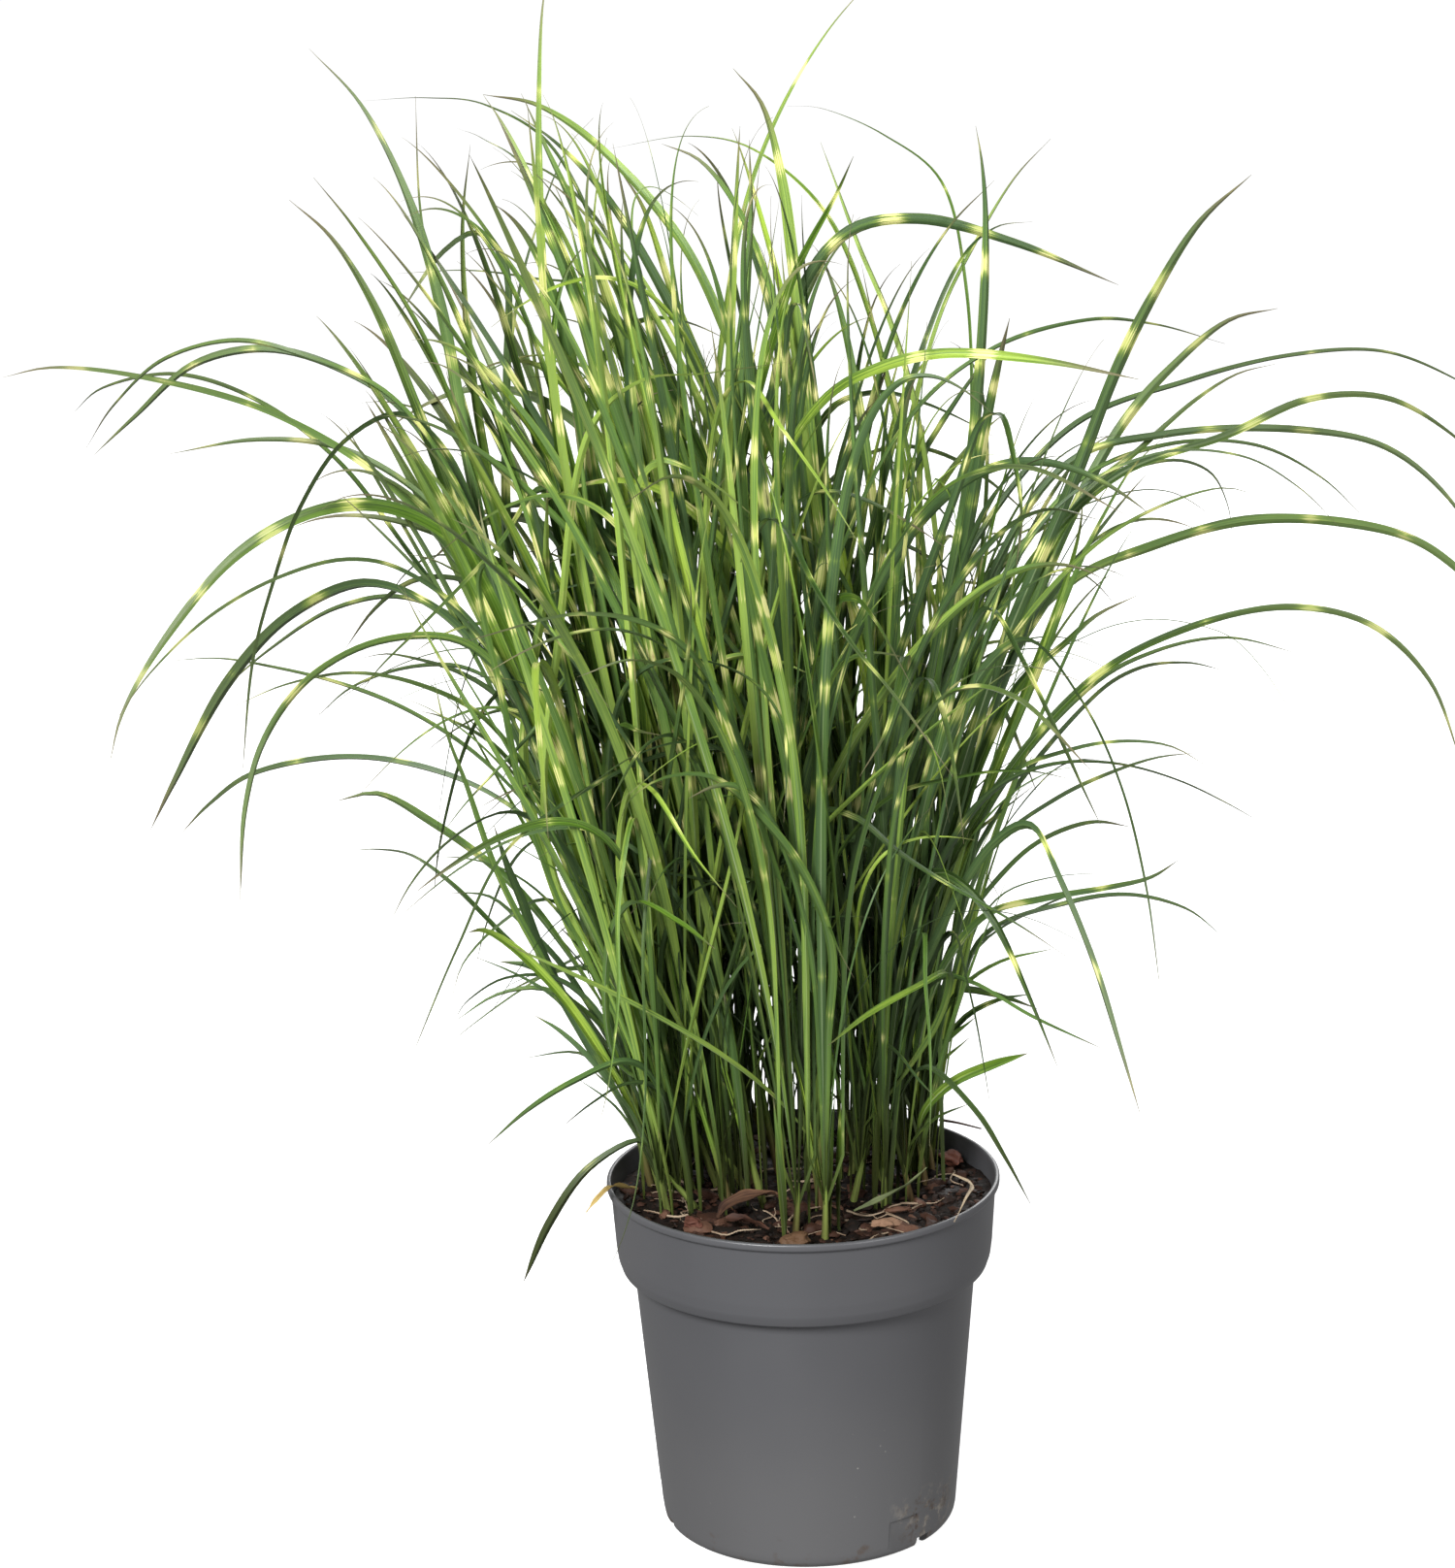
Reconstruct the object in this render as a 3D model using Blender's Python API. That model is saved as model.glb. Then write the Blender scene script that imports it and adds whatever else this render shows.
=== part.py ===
"""A potted zebra grass: a clump of miscanthus with cream-banded leaves in a 23 cm nursery pot.

Metres, +Z up, the viewer in front at -Y. The origin is the middle of the pot's base, on the ground.
The pot is turned, the potting mix fills it, and the tillers (a stem with its leaves, grown in one
piece) stand in the mix. Leaves were measured on the upright plane through the pot's axis, as an eye
in front of the clump sees it, and each lies at its own depth on that line of sight.
"""

import itertools
import math
import random

import bmesh
import bpy
from mathutils import Vector
from mathutils.bvhtree import BVHTree

CM = 0.01
MM = 0.001
GAP = 0.3 * MM  # what a touching piece keeps free around it

# The pot's outside, from the ground up: (radius, height) in mm
RIM_RADIUS = 115
POT_HEIGHT = 211.5
LIP = 4.0
COLLAR_BOTTOM = 159.1
COLLAR_RADIUS = 107.4
BODY_TOP_RADIUS = 100.5
BODY_FOOT_RADIUS = 87.4
BASE_UNDER = 8.0  # the base plate's underside, above the foot ring
BASE_OVER = 10.0
WALL = 1.7
POT_SIDES = 32

# The foot skirt has three open drainage gaps, each beside a shallow sunk panel
DRAIN_AT = (49.0, -71.0, 169.0)  # degrees to the right of the front
DRAIN_WIDE = 10.5
DRAIN_HIGH = 7.1
PANEL_TURN = -11.0  # from a gap's middle to its panel's
PANEL_WIDE = 21.0
PANEL_HIGH = 24.0
PANEL_DEEP = 0.9

SOIL_TOP = 0.1985  # the potting mix's mean level
SOIL_RINGS = (0.0, 42.0, 78.0, 98.0)
SOIL_SECTORS = 18

EYE = Vector((0.0, -2.2606, 1.0497))  # where the clump's face was measured from
SEED = 11
PATH_STEP = 0.006
CULM_SIDES = 5
CULM_RADIUS = 0.0041
CULM_SHARE = 0.5  # how much of the way to its leaves' free stretches a stem goes
COLLAR_RISE = 0.012
BURIED = 0.012
LEAVES_LEAST = 3
SETTLE_TURNS = 6
NECK = 0.007  # the short stretch under a stem's top whose sides open for leaves
LEAVES_BY = 0.006
LEAVES_UP = 0.009
HIDDEN_FROM = 0.03  # tillers behind this line carry their unseen leaves at the back
WIDEST_AT = 0.42
KEEL_SHARE = 0.28
KEEL_LEAST = 0.0007
BEND_WEIGHT = 0.12
TURN_PER_STEP = 0.66
BOWS = [side * step * 0.008 for step in range(12) for side in (1, -1)]

# Every tiller: where its foot stands (across, back), then its leaves. A leaf is its width in mm, how far
# back its tip lies in cm (minus is towards the viewer), and the points it passes, as (across, up) in cm
# on the upright plane through the pot's axis, from its lowest free stretch to its tip.
TILLERS = (
    ((-8.9, 4.0), (
        (11, -4, (-14.5, 50), (-18.3, 58.8), (-22.5, 61.3), (-26.4, 61.2), (-31, 58.9),
         (-35.5, 54), (-38.2, 49.7), (-39.1, 46.8)),
        (10, 9, (-13.5, 45), (-17, 52), (-20.3, 55.6), (-24, 57), (-28.4, 55.2), (-32.1, 51.4),
         (-35.5, 45.6), (-37, 42.8)),
        (7, 2, (-12, 32), (-15, 37.5), (-17.4, 40.2), (-20.8, 42.9), (-23.9, 44.7), (-26.2, 44.3)))),
    ((-9.0, 2.1), (
        (10, -12, (-17, 58), (-19.3, 64.5), (-21.8, 66.6), (-24.9, 65.1), (-27.6, 61.3),
         (-29.1, 57.6), (-30.6, 52.8), (-31.6, 45.6)),
        (9, -7, (-13, 42), (-15.5, 50), (-18.7, 53.5), (-23.4, 53.6), (-27.5, 51.5), (-30.2, 48),
         (-31.5, 44), (-32.1, 38.4)),
        (4, 12, (-13, 31), (-17, 36.1), (-19.8, 39.2), (-22.1, 41), (-24.1, 41.4), (-25.8, 41.3)))),
    ((-8.0, 5.9), (
        (7, 6, (-16, 53), (-21.5, 61.7), (-28.3, 66.6), (-36, 69), (-41, 69.6), (-43.7, 69.1)),
        (4.5, 16, (-12.5, 40), (-17, 44.3), (-21.5, 46.3), (-26, 46.9), (-31, 46), (-33.5, 44.3),
         (-35.3, 42.5)),
        (5, 10, (-12, 38), (-15, 44.5), (-17.2, 47.5), (-19.9, 49.1), (-21.3, 49.5)))),
    ((-8.3, 0.4), (
        (6, -9, (-17, 53), (-21.7, 57.6), (-25, 58.4), (-29, 57.4), (-33, 55.2), (-36.5, 52),
         (-38.6, 49.3)),
        (4.5, -3, (-13.5, 42), (-17.5, 48.9), (-21.1, 51), (-24.9, 51.8), (-28.8, 51.2), (-32, 49.9)),
        (6, -6, (-11, 26), (-14, 33), (-17.1, 39.6), (-18.8, 45.2), (-19.8, 48.3), (-20.4, 51.6)))),
    ((-6.6, 7.4), (
        (6, 14, (-17, 58), (-21.4, 66.7), (-25.1, 69.3), (-29, 70.4), (-33, 69.6), (-36.5, 66.7),
         (-38.9, 64.6)),
        (4.5, 22, (-16, 50), (-21.6, 58.9), (-25.2, 64), (-29.5, 67.5), (-34, 69.1), (-38.2, 68.4),
         (-40, 66.9)),
        (3, 18, (-14, 44), (-16, 50), (-18.4, 51.9), (-21.5, 52.1), (-25, 51), (-27.2, 49.2)))),
    ((-6.9, 4.8), (
        (9, 9, (-11.5, 36), (-15.8, 52.8), (-18.4, 60), (-20.7, 67), (-22.9, 72.9), (-25, 76.5),
         (-27.2, 78.6)),
        (5, 9, (-16, 54), (-19, 60), (-21.5, 62.7), (-25.3, 64.8), (-29.7, 65.3), (-34.6, 64.6)),
        (3, 3, (-10, 28), (-12.5, 36.5), (-14.5, 38.2), (-17, 36.9), (-19.4, 34.4), (-20.1, 32.4)))),
    ((-6.2, -1.4), (
        (8, -6, (-8.8, 22), (-11.3, 28.4), (-14, 32.7), (-16.5, 35.4), (-18.1, 36.4), (-19, 36.3)),
        (5, -12, (-9.5, 24), (-11.5, 31), (-14, 33.4), (-17, 33.5), (-19.2, 32.2), (-20, 31)),
        (6, -14, (-7.5, 23), (-8.5, 27), (-10.2, 28.3), (-13.3, 27.1), (-16, 25.4), (-18.5, 23.2)))),
    ((-7.1, 2.9), (
        (10, 8, (-12.5, 38), (-16, 53), (-17.8, 63), (-19, 72), (-20.6, 78.5), (-23, 83.7),
         (-25.7, 86.8)),
        (3.5, 19, (-17.5, 60), (-22, 67.5), (-26.9, 70), (-30.4, 70.9), (-34.5, 70), (-37.5, 67.5),
         (-39.3, 65)),
        (4, -4, (-10, 25), (-12, 31), (-14.8, 32.8), (-17.5, 32.5), (-19.9, 31)))),
    ((-6.4, 0.6), (
        (5, -7, (-12, 40), (-15.2, 54), (-17.8, 64.2), (-20.3, 71.3), (-23.7, 77), (-25.8, 79.8)),
        (7, -16, (-15, 42), (-16.5, 50), (-17.6, 57), (-16.8, 58), (-15, 56), (-12.5, 52.5),
         (-10.5, 49.5)),
        (4.5, 2, (-9.5, 22.5), (-12, 29), (-14, 32.1), (-16.5, 33.8), (-18.9, 34.9)))),
    ((-7.9, -2.6), (
        (8, -5, (-8.1, 22), (-9.7, 23.4), (-12.6, 21.7), (-15, 18.3), (-16.6, 14.7)),
        (5, -3, (-9.4, 22), (-11.5, 27.5), (-13.9, 30.2), (-15.4, 31.2)),
        (6, -13, (-8.4, 30), (-9.3, 43), (-10.3, 38), (-10.5, 32), (-11.4, 26), (-12, 24)))),
    ((-5.1, 6.1), (
        (9, 8, (-11, 35), (-15.3, 52), (-15.9, 60), (-15.6, 68), (-15.5, 75), (-16.9, 76.6),
         (-18.8, 75.6), (-21.5, 72)),
        (4.5, 12, (-12, 42), (-16, 58), (-18, 67), (-19.3, 72.6), (-20, 77.9), (-20, 84.1)),
        (3.5, 17, (-15, 48), (-18, 54), (-21.8, 56.1), (-25.7, 55.6), (-29.7, 53.2), (-32.7, 50.7)))),
    ((-4.6, 8.5), (
        (6, 15, (-12.5, 44), (-16.3, 60), (-17.6, 70), (-17.7, 77), (-17.1, 81.4)),
        (3, 30, (-6, 55), (-9, 72), (-12.5, 81), (-16.1, 83.5), (-19.4, 84), (-22.9, 83.9)))),
    ((-5.1, 2.3), (
        (7, 5, (-9, 36), (-11.5, 55), (-12.9, 66), (-13.4, 76), (-13.2, 84.8), (-12.8, 89.2),
         (-12.3, 91)),
        (8, -12, (-13, 36), (-15.4, 46), (-14.8, 51.6), (-13.9, 56), (-13.7, 59.5), (-13.5, 62.8)),
        (10, -19, (-9.5, 32), (-12, 44), (-13.8, 51.5), (-14.5, 52.2), (-14.6, 50), (-14.4, 46),
         (-14.2, 41.8)))),
    ((-4.2, -1.7), (
        (8, -9, (-8.5, 40), (-11.5, 56), (-12.8, 66), (-13.3, 72), (-13.6, 79), (-13.9, 83.5)),
        (7, -20, (-9, 28), (-10, 38), (-9.5, 44.6), (-8.2, 44.6), (-5.9, 40.7), (-3.5, 37.5)),
        (4, -15, (-7, 36), (-8, 42), (-8.9, 36), (-9.1, 26), (-10, 19.5), (-11.5, 15.6),
         (-12.2, 15.7)))),
    ((-4.9, 4.4), (
        (11, 10, (-4, 38), (-8, 56), (-9.8, 64), (-11.3, 71.7), (-13.2, 77.8), (-15, 82),
         (-16.3, 84.1)),
        (8, -9, (-5, 38), (-8, 53), (-10.5, 58), (-13.8, 62.2), (-16.5, 58.9), (-21, 54.4),
         (-23.5, 52), (-24.8, 50.3)),
        (4, 21, (-7, 50), (-10.5, 70), (-14, 79.8), (-16.4, 81.7), (-17.8, 82.3)))),
    ((-3.2, 0.3), (
        (7, -14, (-14, 40), (-13, 55), (-11, 65.5), (-8, 68.2), (-4.5, 68.5), (0, 69)),
        (6.5, -22, (-9.5, 34), (-10.6, 46), (-9.2, 51), (-6.2, 52.3), (-2.6, 51.1), (-0.7, 48.5),
         (-0.5, 45), (-0.7, 42.5)),
        (6, -18, (-10.5, 28), (-11, 35), (-9.5, 38), (-7, 36.8), (-4.8, 35)))),
    ((-3.4, 6.3), (
        (9, 9, (-3, 40), (-6, 56), (-8, 65), (-9.7, 72.4), (-11.6, 78), (-13.1, 81.5), (-14.2, 84.1)),
        (4, 25, (-5, 50), (-7.5, 68), (-10.5, 73.1), (-14, 74), (-17.5, 74.5), (-21.5, 74.4)))),
    ((-3.1, 2.3), (
        (7, 3, (-3, 40), (-2.8, 56), (-2.6, 66), (-2.2, 72.2), (-1.8, 77.2), (-1.8, 81.3)),
        (4, 13, (-7, 45), (-9.2, 62), (-10.6, 72), (-10.5, 76.7), (-10.1, 79.6), (-9.6, 81.6)))),
    ((-2.2, 9.6), (
        (4, 18, (-15, 45), (-16, 60), (-15, 72), (-13.3, 77.7), (-11.7, 81.2), (-10.3, 82.7)),)),
    ((-2.3, -1.9), (
        (9, -25, (-7, 38), (-4.5, 52), (-1.5, 60), (-0.3, 59.6), (1.3, 56.3), (3.3, 53), (6, 49.5),
         (9, 45)),
        (7, -5, (-7, 38), (-4.5, 55), (-2, 66), (0.6, 74), (2.9, 78.2), (3.9, 80.3)))),
    ((-1.5, 4.2), (
        (5, 16, (-6, 40), (-5, 58), (-3.6, 70), (-2, 78.1), (0, 83), (2.6, 87.1), (5.5, 90.3)),
        (6, 8, (-2, 42), (-5, 60), (-8.6, 71.7), (-9.4, 75.2), (-10.2, 77.7)))),
    ((-1.2, 0.3), (
        (12, -26, (-2, 40), (-1.2, 55), (-0.3, 66), (0.2, 71.5), (0.8, 72.2), (1.2, 70), (1.8, 66.3)),
        (8, -8, (-1, 40), (-1.8, 54), (-0.5, 63), (2.2, 67), (4.9, 68.5), (8.5, 69.3), (14.1, 68.8),
         (19.6, 67.6)),
        (6.5, -23, (-5, 40), (-5, 55), (-3.8, 66.5), (-2.2, 68), (-0.4, 65.4), (2.2, 61.5),
         (4.2, 58)))),
    ((-0.5, -6.2), (
        (10, -16, (-0.1, 22), (0.1, 30), (0.2, 38), (-0.5, 46), (-2, 54), (-3, 60)),)),
    ((1.2, -6.7), (
        (13, -15, (0.9, 22), (1.6, 29), (1.9, 35), (0.4, 39.5), (-2, 42.9), (-4.8, 45.3),
         (-7.5, 45.3), (-9.5, 44), (-10.3, 42)),)),
    ((-0.5, 7.4), (
        (8, 11, (-3, 45), (-2, 60), (0.8, 72.8), (3.6, 76.2), (7.4, 76.8), (12.6, 75.4), (18.4, 72.9)),)),
    ((0.8, 2.4), (
        (9, 7, (3, 40), (-0.5, 56), (-3.5, 65.5), (-6.4, 72.4), (-9.8, 78.5), (-12.4, 81.4),
         (-14.8, 83.2)),
        (7, -21, (4, 33), (1.5, 43.5), (-2.7, 46.6), (-7.2, 46.7), (-11.9, 44.7), (-16.7, 41.1),
         (-19.7, 35.4), (-22.7, 28.6)))),
    ((1.3, 5.4), (
        (9, 4, (1.5, 40), (1.5, 58), (1, 68), (0.4, 75.2), (-0.1, 79.4), (-1.1, 83.3), (-2.6, 85.2)),
        (6, 18, (3, 45), (1, 58), (-2.5, 68.5), (-5.5, 75.6), (-9.9, 81), (-13.2, 83.4),
         (-16.3, 84.1)))),
    ((0.2, 9.4), (
        (10, 13, (3, 40), (2, 58), (0.3, 68), (-1, 73.8), (-2.7, 77.9), (-4.6, 80.3), (-6.6, 81.2)),)),
    ((1.0, -1.9), (
        (13, -12, (0, 30), (1, 42), (1.6, 50), (2.3, 57), (2.5, 60)),
        (5, -17, (-1, 30), (1, 38), (5, 43.6), (8.9, 44.9), (12.8, 45.3), (16.2, 44.6)))),
    ((2.9, -1.8), (
        (9, -19, (5, 32), (8, 46), (10.3, 54), (11.3, 54.8), (12.9, 52), (15.2, 47), (16.5, 44),
         (17.5, 41.8)),
        (6, -22, (5.5, 24), (7.8, 30), (8.7, 33.3), (7, 32.6), (4, 30.9), (1.6, 29)),
        (6, -12, (3, 24), (5.5, 29), (8, 33), (10, 32.7), (13.4, 30.6), (17.5, 28.5)))),
    ((2.9, 3.6), (
        (8, 2, (5, 35), (8, 52), (10, 62), (10.9, 71), (11.1, 77), (10.9, 80), (10.6, 81.8)),
        (2.5, 27, (9, 50), (10.2, 64), (10, 73), (8.7, 78.8), (5.6, 81.4), (2.3, 82.9), (0.3, 83.1)),
        (6, 20, (2, 42), (-1, 57), (-4, 67), (-6.2, 72.9), (-7.7, 77.7), (-9, 79.9)))),
    ((2.6, 7.2), (
        (6, 8, (0, 38), (2, 54), (4.5, 66), (6.7, 72.3), (9.1, 76.3), (11.6, 78.8)),
        (4, 24, (9, 45), (7, 60), (4.7, 71.4), (2.2, 77.4), (-1.6, 80.8), (-5, 81.6), (-9.5, 81)))),
    ((4.7, -1.9), (
        (8, -18, (4.7, 30), (5.6, 42), (6.8, 50.2), (7.8, 50.7), (8.6, 48.3), (9.2, 44.6), (9.6, 41)),
        (8, -11, (5, 26), (6, 34), (7.8, 39.3), (9.5, 38.6), (11.3, 36.3), (13.5, 31.2), (15, 27.2)),
        (5, -9, (5.4, 22.5), (5.8, 26), (7.3, 27.6), (10.1, 24.9), (11.8, 22), (13.3, 19)))),
    ((4.7, 1.8), (
        (8.5, -15, (2, 35), (4.5, 47), (7.4, 56.1), (9.4, 61.6), (10.8, 65.5), (11.9, 65.8),
         (12.6, 63.2), (13, 60), (12.7, 57.2)),
        (4.5, 14, (5, 38), (10, 53), (16, 61.8), (21, 63.9), (26, 63.8), (29.7, 61.9), (32.3, 59.4)),
        (3.5, 6, (5.5, 38), (9.5, 51), (15, 60.5), (20.5, 63.4), (25.2, 63.2), (28.4, 61.4),
         (31, 58.8)))),
    ((4.6, 5.4), (
        (13, -3, (3, 32), (6.5, 44), (8.8, 53), (9.9, 59.1), (10.8, 64.1), (11.7, 68.4), (12.4, 71.2)),
        (3.5, 17, (-2, 38), (2, 56), (7, 66), (11.6, 69.6), (16.7, 71), (20.3, 70.7), (24.3, 69.5)),
        (5, 12, (8.5, 40), (8.5, 55), (7.2, 66), (5.7, 71.4), (4.1, 75.4), (2.7, 79.4), (2.1, 81.1)))),
    ((4.3, 8.9), (
        (4, 19, (2, 40), (4.5, 56), (8.5, 71.3), (10.3, 75), (12.7, 78.9), (14.7, 81)),
        (5, 23, (5, 40), (9, 56), (15.6, 64.9), (22.3, 67.5), (28, 68.8), (33, 68.9), (37, 67.3),
         (40, 65.2)))),
    ((6.3, -0.7), (
        (9, -14, (4.5, 28), (7, 42), (11, 51.5), (13.5, 52.9), (16.5, 49.2), (18.6, 44.4),
         (20, 38.6), (20.9, 31.7)),
        (9, -17, (5, 26), (8, 35.5), (11.3, 41), (13.5, 42), (15.1, 38.8), (17, 33.9), (18.5, 28.8),
         (19.7, 24.5)),
        (8, -4, (6.3, 22.5), (7.2, 25), (8.8, 26.6), (11, 27.6), (13.2, 28.3)))),
    ((6.2, 3.4), (
        (11, -4, (6, 32), (11, 50), (16, 62.2), (18.4, 68.4), (20.4, 72.4), (22.9, 76.3), (25.7, 78.8)),
        (6, 4, (5, 36), (10, 54), (15.6, 63), (21, 64.5), (28.4, 64.6), (33.3, 63.5), (36.9, 60.5),
         (39.5, 56)),
        (6, -6, (5, 34), (10, 49), (15.6, 56.9), (19.6, 59.9), (24.2, 61.4), (26.3, 60.9)))),
    ((5.6, 6.4), (
        (8, 13, (6, 32), (11, 48), (16, 60.4), (18.7, 65.2), (21.4, 68.3), (24.5, 70.8), (27.2, 71.4)),
        (6, 10, (6, 38), (12, 55), (18, 62), (24.5, 64.4), (29, 66.3), (33.2, 66.3), (36.9, 64.2),
         (41, 60)),
        (5, 16, (1, 40), (4, 57), (7.5, 69.5), (9.8, 74.6), (11.6, 76.2), (13.7, 76.5)))),
    ((7.2, 1.4), (
        (11, -7, (6.5, 27), (8, 33), (10.9, 36.8), (14.2, 37.7), (18.1, 38.3), (20.3, 38.8),
         (21.9, 39.8)),
        (6.5, -8, (5, 30), (10, 42), (16.5, 50.2), (21.5, 53.1), (27.8, 54.5), (32.6, 53.4),
         (36, 50.1), (38, 45)),
        (4, 5, (7, 25), (8, 30), (9.4, 32.4), (11.6, 33.9), (14.6, 34.6)))),
    ((7.5, 4.7), (
        (9, 1, (4, 34), (9, 48), (15.6, 56.1), (20.1, 58.1), (25.5, 59.5), (30.9, 59.3), (35, 58.2),
         (38, 56), (43.7, 50)),
        (7, 8, (6, 34), (11, 50), (16.3, 60.8), (19.6, 63.7), (22.7, 66.4), (25, 67.8), (27.1, 68.3)),
        (5, 3, (7.4, 25), (8.2, 28.5), (9.6, 30.6), (11.5, 31.6), (13.4, 31.9)))),
    ((7.3, 6.6), (
        (3.5, 20, (7.6, 36), (11.5, 52), (16.7, 61.2), (21, 63), (23.4, 62.4), (24.5, 60.5), (24.9, 57.7)),
        (4.5, 15, (6, 30), (10.5, 42), (16.7, 50), (20.5, 52.1), (24.6, 52.8), (28.9, 51.7)))),
    ((7.7, 3.0), (
        (5, 1, (7, 26), (9, 35), (11.7, 44.6), (15.8, 46.5), (19, 46.9), (21.5, 46.5), (23.5, 45.3)),
        (5, -5, (7.4, 24), (9, 31), (10.7, 35.5), (15.6, 37.4), (19, 37.8), (22.3, 36.9), (24.5, 35.1)),
        (5, 8, (7.6, 24), (9, 35), (11.2, 40.7), (14.9, 43.6), (18.1, 45.1), (20.7, 45.9),
         (22.8, 46.1)))),
    ((5.6, 8.1), (
        (4, 25, (6, 28), (10.5, 41), (16.9, 49.4), (19.5, 51.1), (22.2, 51.4), (24.4, 50.9)),)),
)

# Loose dead leaves and a twig: width and thickness in mm, colour, and a path (across, back, up) in cm.
CHIP_CLEAR = 0.8 * MM
LITTER_STRIPS = (
    ("dry_leaf_left", 6, 0.8, (0.42, 0.3, 0.09),
     ((-9.7, -0.2, 20.5), (-10.4, -1.7, 21.1), (-11.0, -3.4, 21.85), (-11.8, -4.3, 21.5),
      (-12.5, -4.8, 20.8))),
    ("dry_leaf_right", 5, 0.8, (0.5, 0.42, 0.3),
     ((8.8, 0.9, 20.6), (9.5, -1.0, 20.9), (9.7, -3.7, 21.5), (9.3, -6.4, 21.9), (8.5, -8.4, 21.2))),
    ("dry_sheath_back", 8, 1.0, (0.17, 0.095, 0.05),
     ((-4.9, -5.2, 20.5), (-4.3, -4.2, 20.9), (-2.9, -3.4, 21.1), (-1.5, -3.4, 21.1), (-1.2, -5.0, 20.6))),
    ("dry_sheath_front", 8, 1.0, (0.2, 0.1, 0.05),
     ((-4.5, -5.9, 20.7), (-3.2, -6.3, 20.65), (-2.0, -7.1, 20.45))),
    ("dead_leaf_front", 5, 0.8, (0.16, 0.19, 0.07),
     ((2.9, -4.6, 20.5), (4.6, -3.6, 20.9), (6.1, -2.5, 21.3), (7.2, -1.4, 21.9))),
    ("twig", 2.5, 1.2, (0.1, 0.05, 0.03),
     ((8.3, 7.2, 21.75), (9.3, 6.5, 21.8), (10.7, 5.5, 21.75))),
)
# Bark and the stub of a cut stem: place (across, back) in cm, size in mm, turn in radians, colour.
BARK = (
    ("bark_chip_front", (4.7, -6.0), (15, 9, 4), 0.3, (0.22, 0.13, 0.075)),
    ("bark_chip_right", (8.9, 4.6), (20, 11, 6), 2.0, (0.12, 0.04, 0.025)),
    ("bark_chip_left", (-6.3, -5.7), (13, 9, 5), 2.1, (0.2, 0.07, 0.05)),
    ("cut_stub", (-0.6, -8.1), (17, 12, 7), 0.1, (0.17, 0.085, 0.045)),
)


# --- how a tiller and its leaves grow ---------------------------------------------------------------

def on_sight_line(across, up, back):
    """The point that lies back metres behind the pot's axis and covers (across, up) from the eye."""
    share = (back - EYE.y) / -EYE.y
    return EYE + (Vector((across, 0.0, up)) - EYE) * share


def smooth_path(knots):
    """Points a few millimetres apart along a centripetal Catmull-Rom curve through the knots."""
    ends = [knots[0] * 2 - knots[1]] + list(knots) + [knots[-1] * 2 - knots[-2]]
    path = [knots[0].copy()]
    for i in range(1, len(ends) - 2):
        p = ends[i - 1:i + 3]
        t = [0.0]
        for k in range(3):
            t.append(t[-1] + max((p[k + 1] - p[k]).length, 1e-6) ** 0.5)
        count = max(3, int((p[2] - p[1]).length / PATH_STEP))
        for j in range(1, count + 1):
            at = t[1] + (t[2] - t[1]) * j / count
            a = [p[k].lerp(p[k + 1], (at - t[k]) / (t[k + 1] - t[k])) for k in range(3)]
            b = [a[k].lerp(a[k + 1], (at - t[k]) / (t[k + 2] - t[k])) for k in range(2)]
            path.append(b[0].lerp(b[1], (at - t[1]) / (t[2] - t[1])))
    return path


def stations(path, count, bend_weight):
    """count + 1 points of the path with their share of its length, closer together where it bends."""
    lengths = [0.0]
    weights = [0.0]
    for i in range(1, len(path)):
        step = path[i] - path[i - 1]
        turn = 0.0
        if i + 1 < len(path):
            turn = step.angle(path[i + 1] - path[i], 0.0)
        lengths.append(lengths[-1] + step.length)
        weights.append(weights[-1] + step.length + bend_weight * turn)
    found = []
    i = 0
    for k in range(count + 1):
        want = weights[-1] * k / count
        while i < len(path) - 2 and weights[i + 1] < want:
            i += 1
        part = (want - weights[i]) / max(weights[i + 1] - weights[i], 1e-9)
        part = min(max(part, 0.0), 1.0)
        length = lengths[i] + (lengths[i + 1] - lengths[i]) * part
        found.append((path[i].lerp(path[i + 1], part), length / lengths[-1]))
    return found


def turning(path):
    """How far the path turns from end to end, in radians."""
    steps = [b - a for a, b in zip(path[:-3:3], path[3::3])]
    return sum(a.angle(b, 0.0) for a, b in zip(steps, steps[1:]))


def width_at(share):
    """A blade's width along its length, as a share of its widest: narrow foot, long fine tip."""
    if share < WIDEST_AT:
        return 0.7 + 0.3 * math.sin(math.pi / 2 * share / WIDEST_AT)
    return 1.0 - ((share - WIDEST_AT) / (1.0 - WIDEST_AT)) ** 1.6


def leaf_frame(leaf, tangent, share):
    """The blade's sideways and keel directions at a share of its length, twisted by its roll."""
    side = leaf["out"].cross(Vector((0.0, 0.0, 1.0)))
    side = (side - tangent * side.dot(tangent)).normalized()
    keel = tangent.cross(side)
    roll = leaf["roll"] + leaf["twist"] * share
    return (side * math.cos(roll) + keel * math.sin(roll),
            keel * math.cos(roll) - side * math.sin(roll))


def culm_of(foot, firsts, soil):
    """The stem's rings from its buried foot to its top: centre and radius, leaning to its leaves."""
    ground = Vector((foot[0], foot[1], soil))
    aim = (firsts[0] * 2 + firsts[1]) / 3
    highest = min(first.z for first in firsts) - LEAVES_UP - 0.01
    rise = max(min((aim.z - soil) * CULM_SHARE, highest - soil), COLLAR_RISE + NECK + 0.003)
    top = ground.lerp(aim, rise / (aim.z - soil))
    lean = (top - ground) / max(top.z - ground.z, 1e-3)
    rings = [ground - lean * BURIED, ground + lean * COLLAR_RISE, top - lean * NECK, top]
    return list(zip(rings, [CULM_RADIUS, CULM_RADIUS, CULM_RADIUS * 0.9, CULM_RADIUS * 0.85]))


def face_normal(k):
    """The way that the stem's side face k looks."""
    angle = 2 * math.pi * (k + 1) / CULM_SIDES - math.pi / 2
    return Vector((math.cos(angle), math.sin(angle), 0.0))


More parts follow.
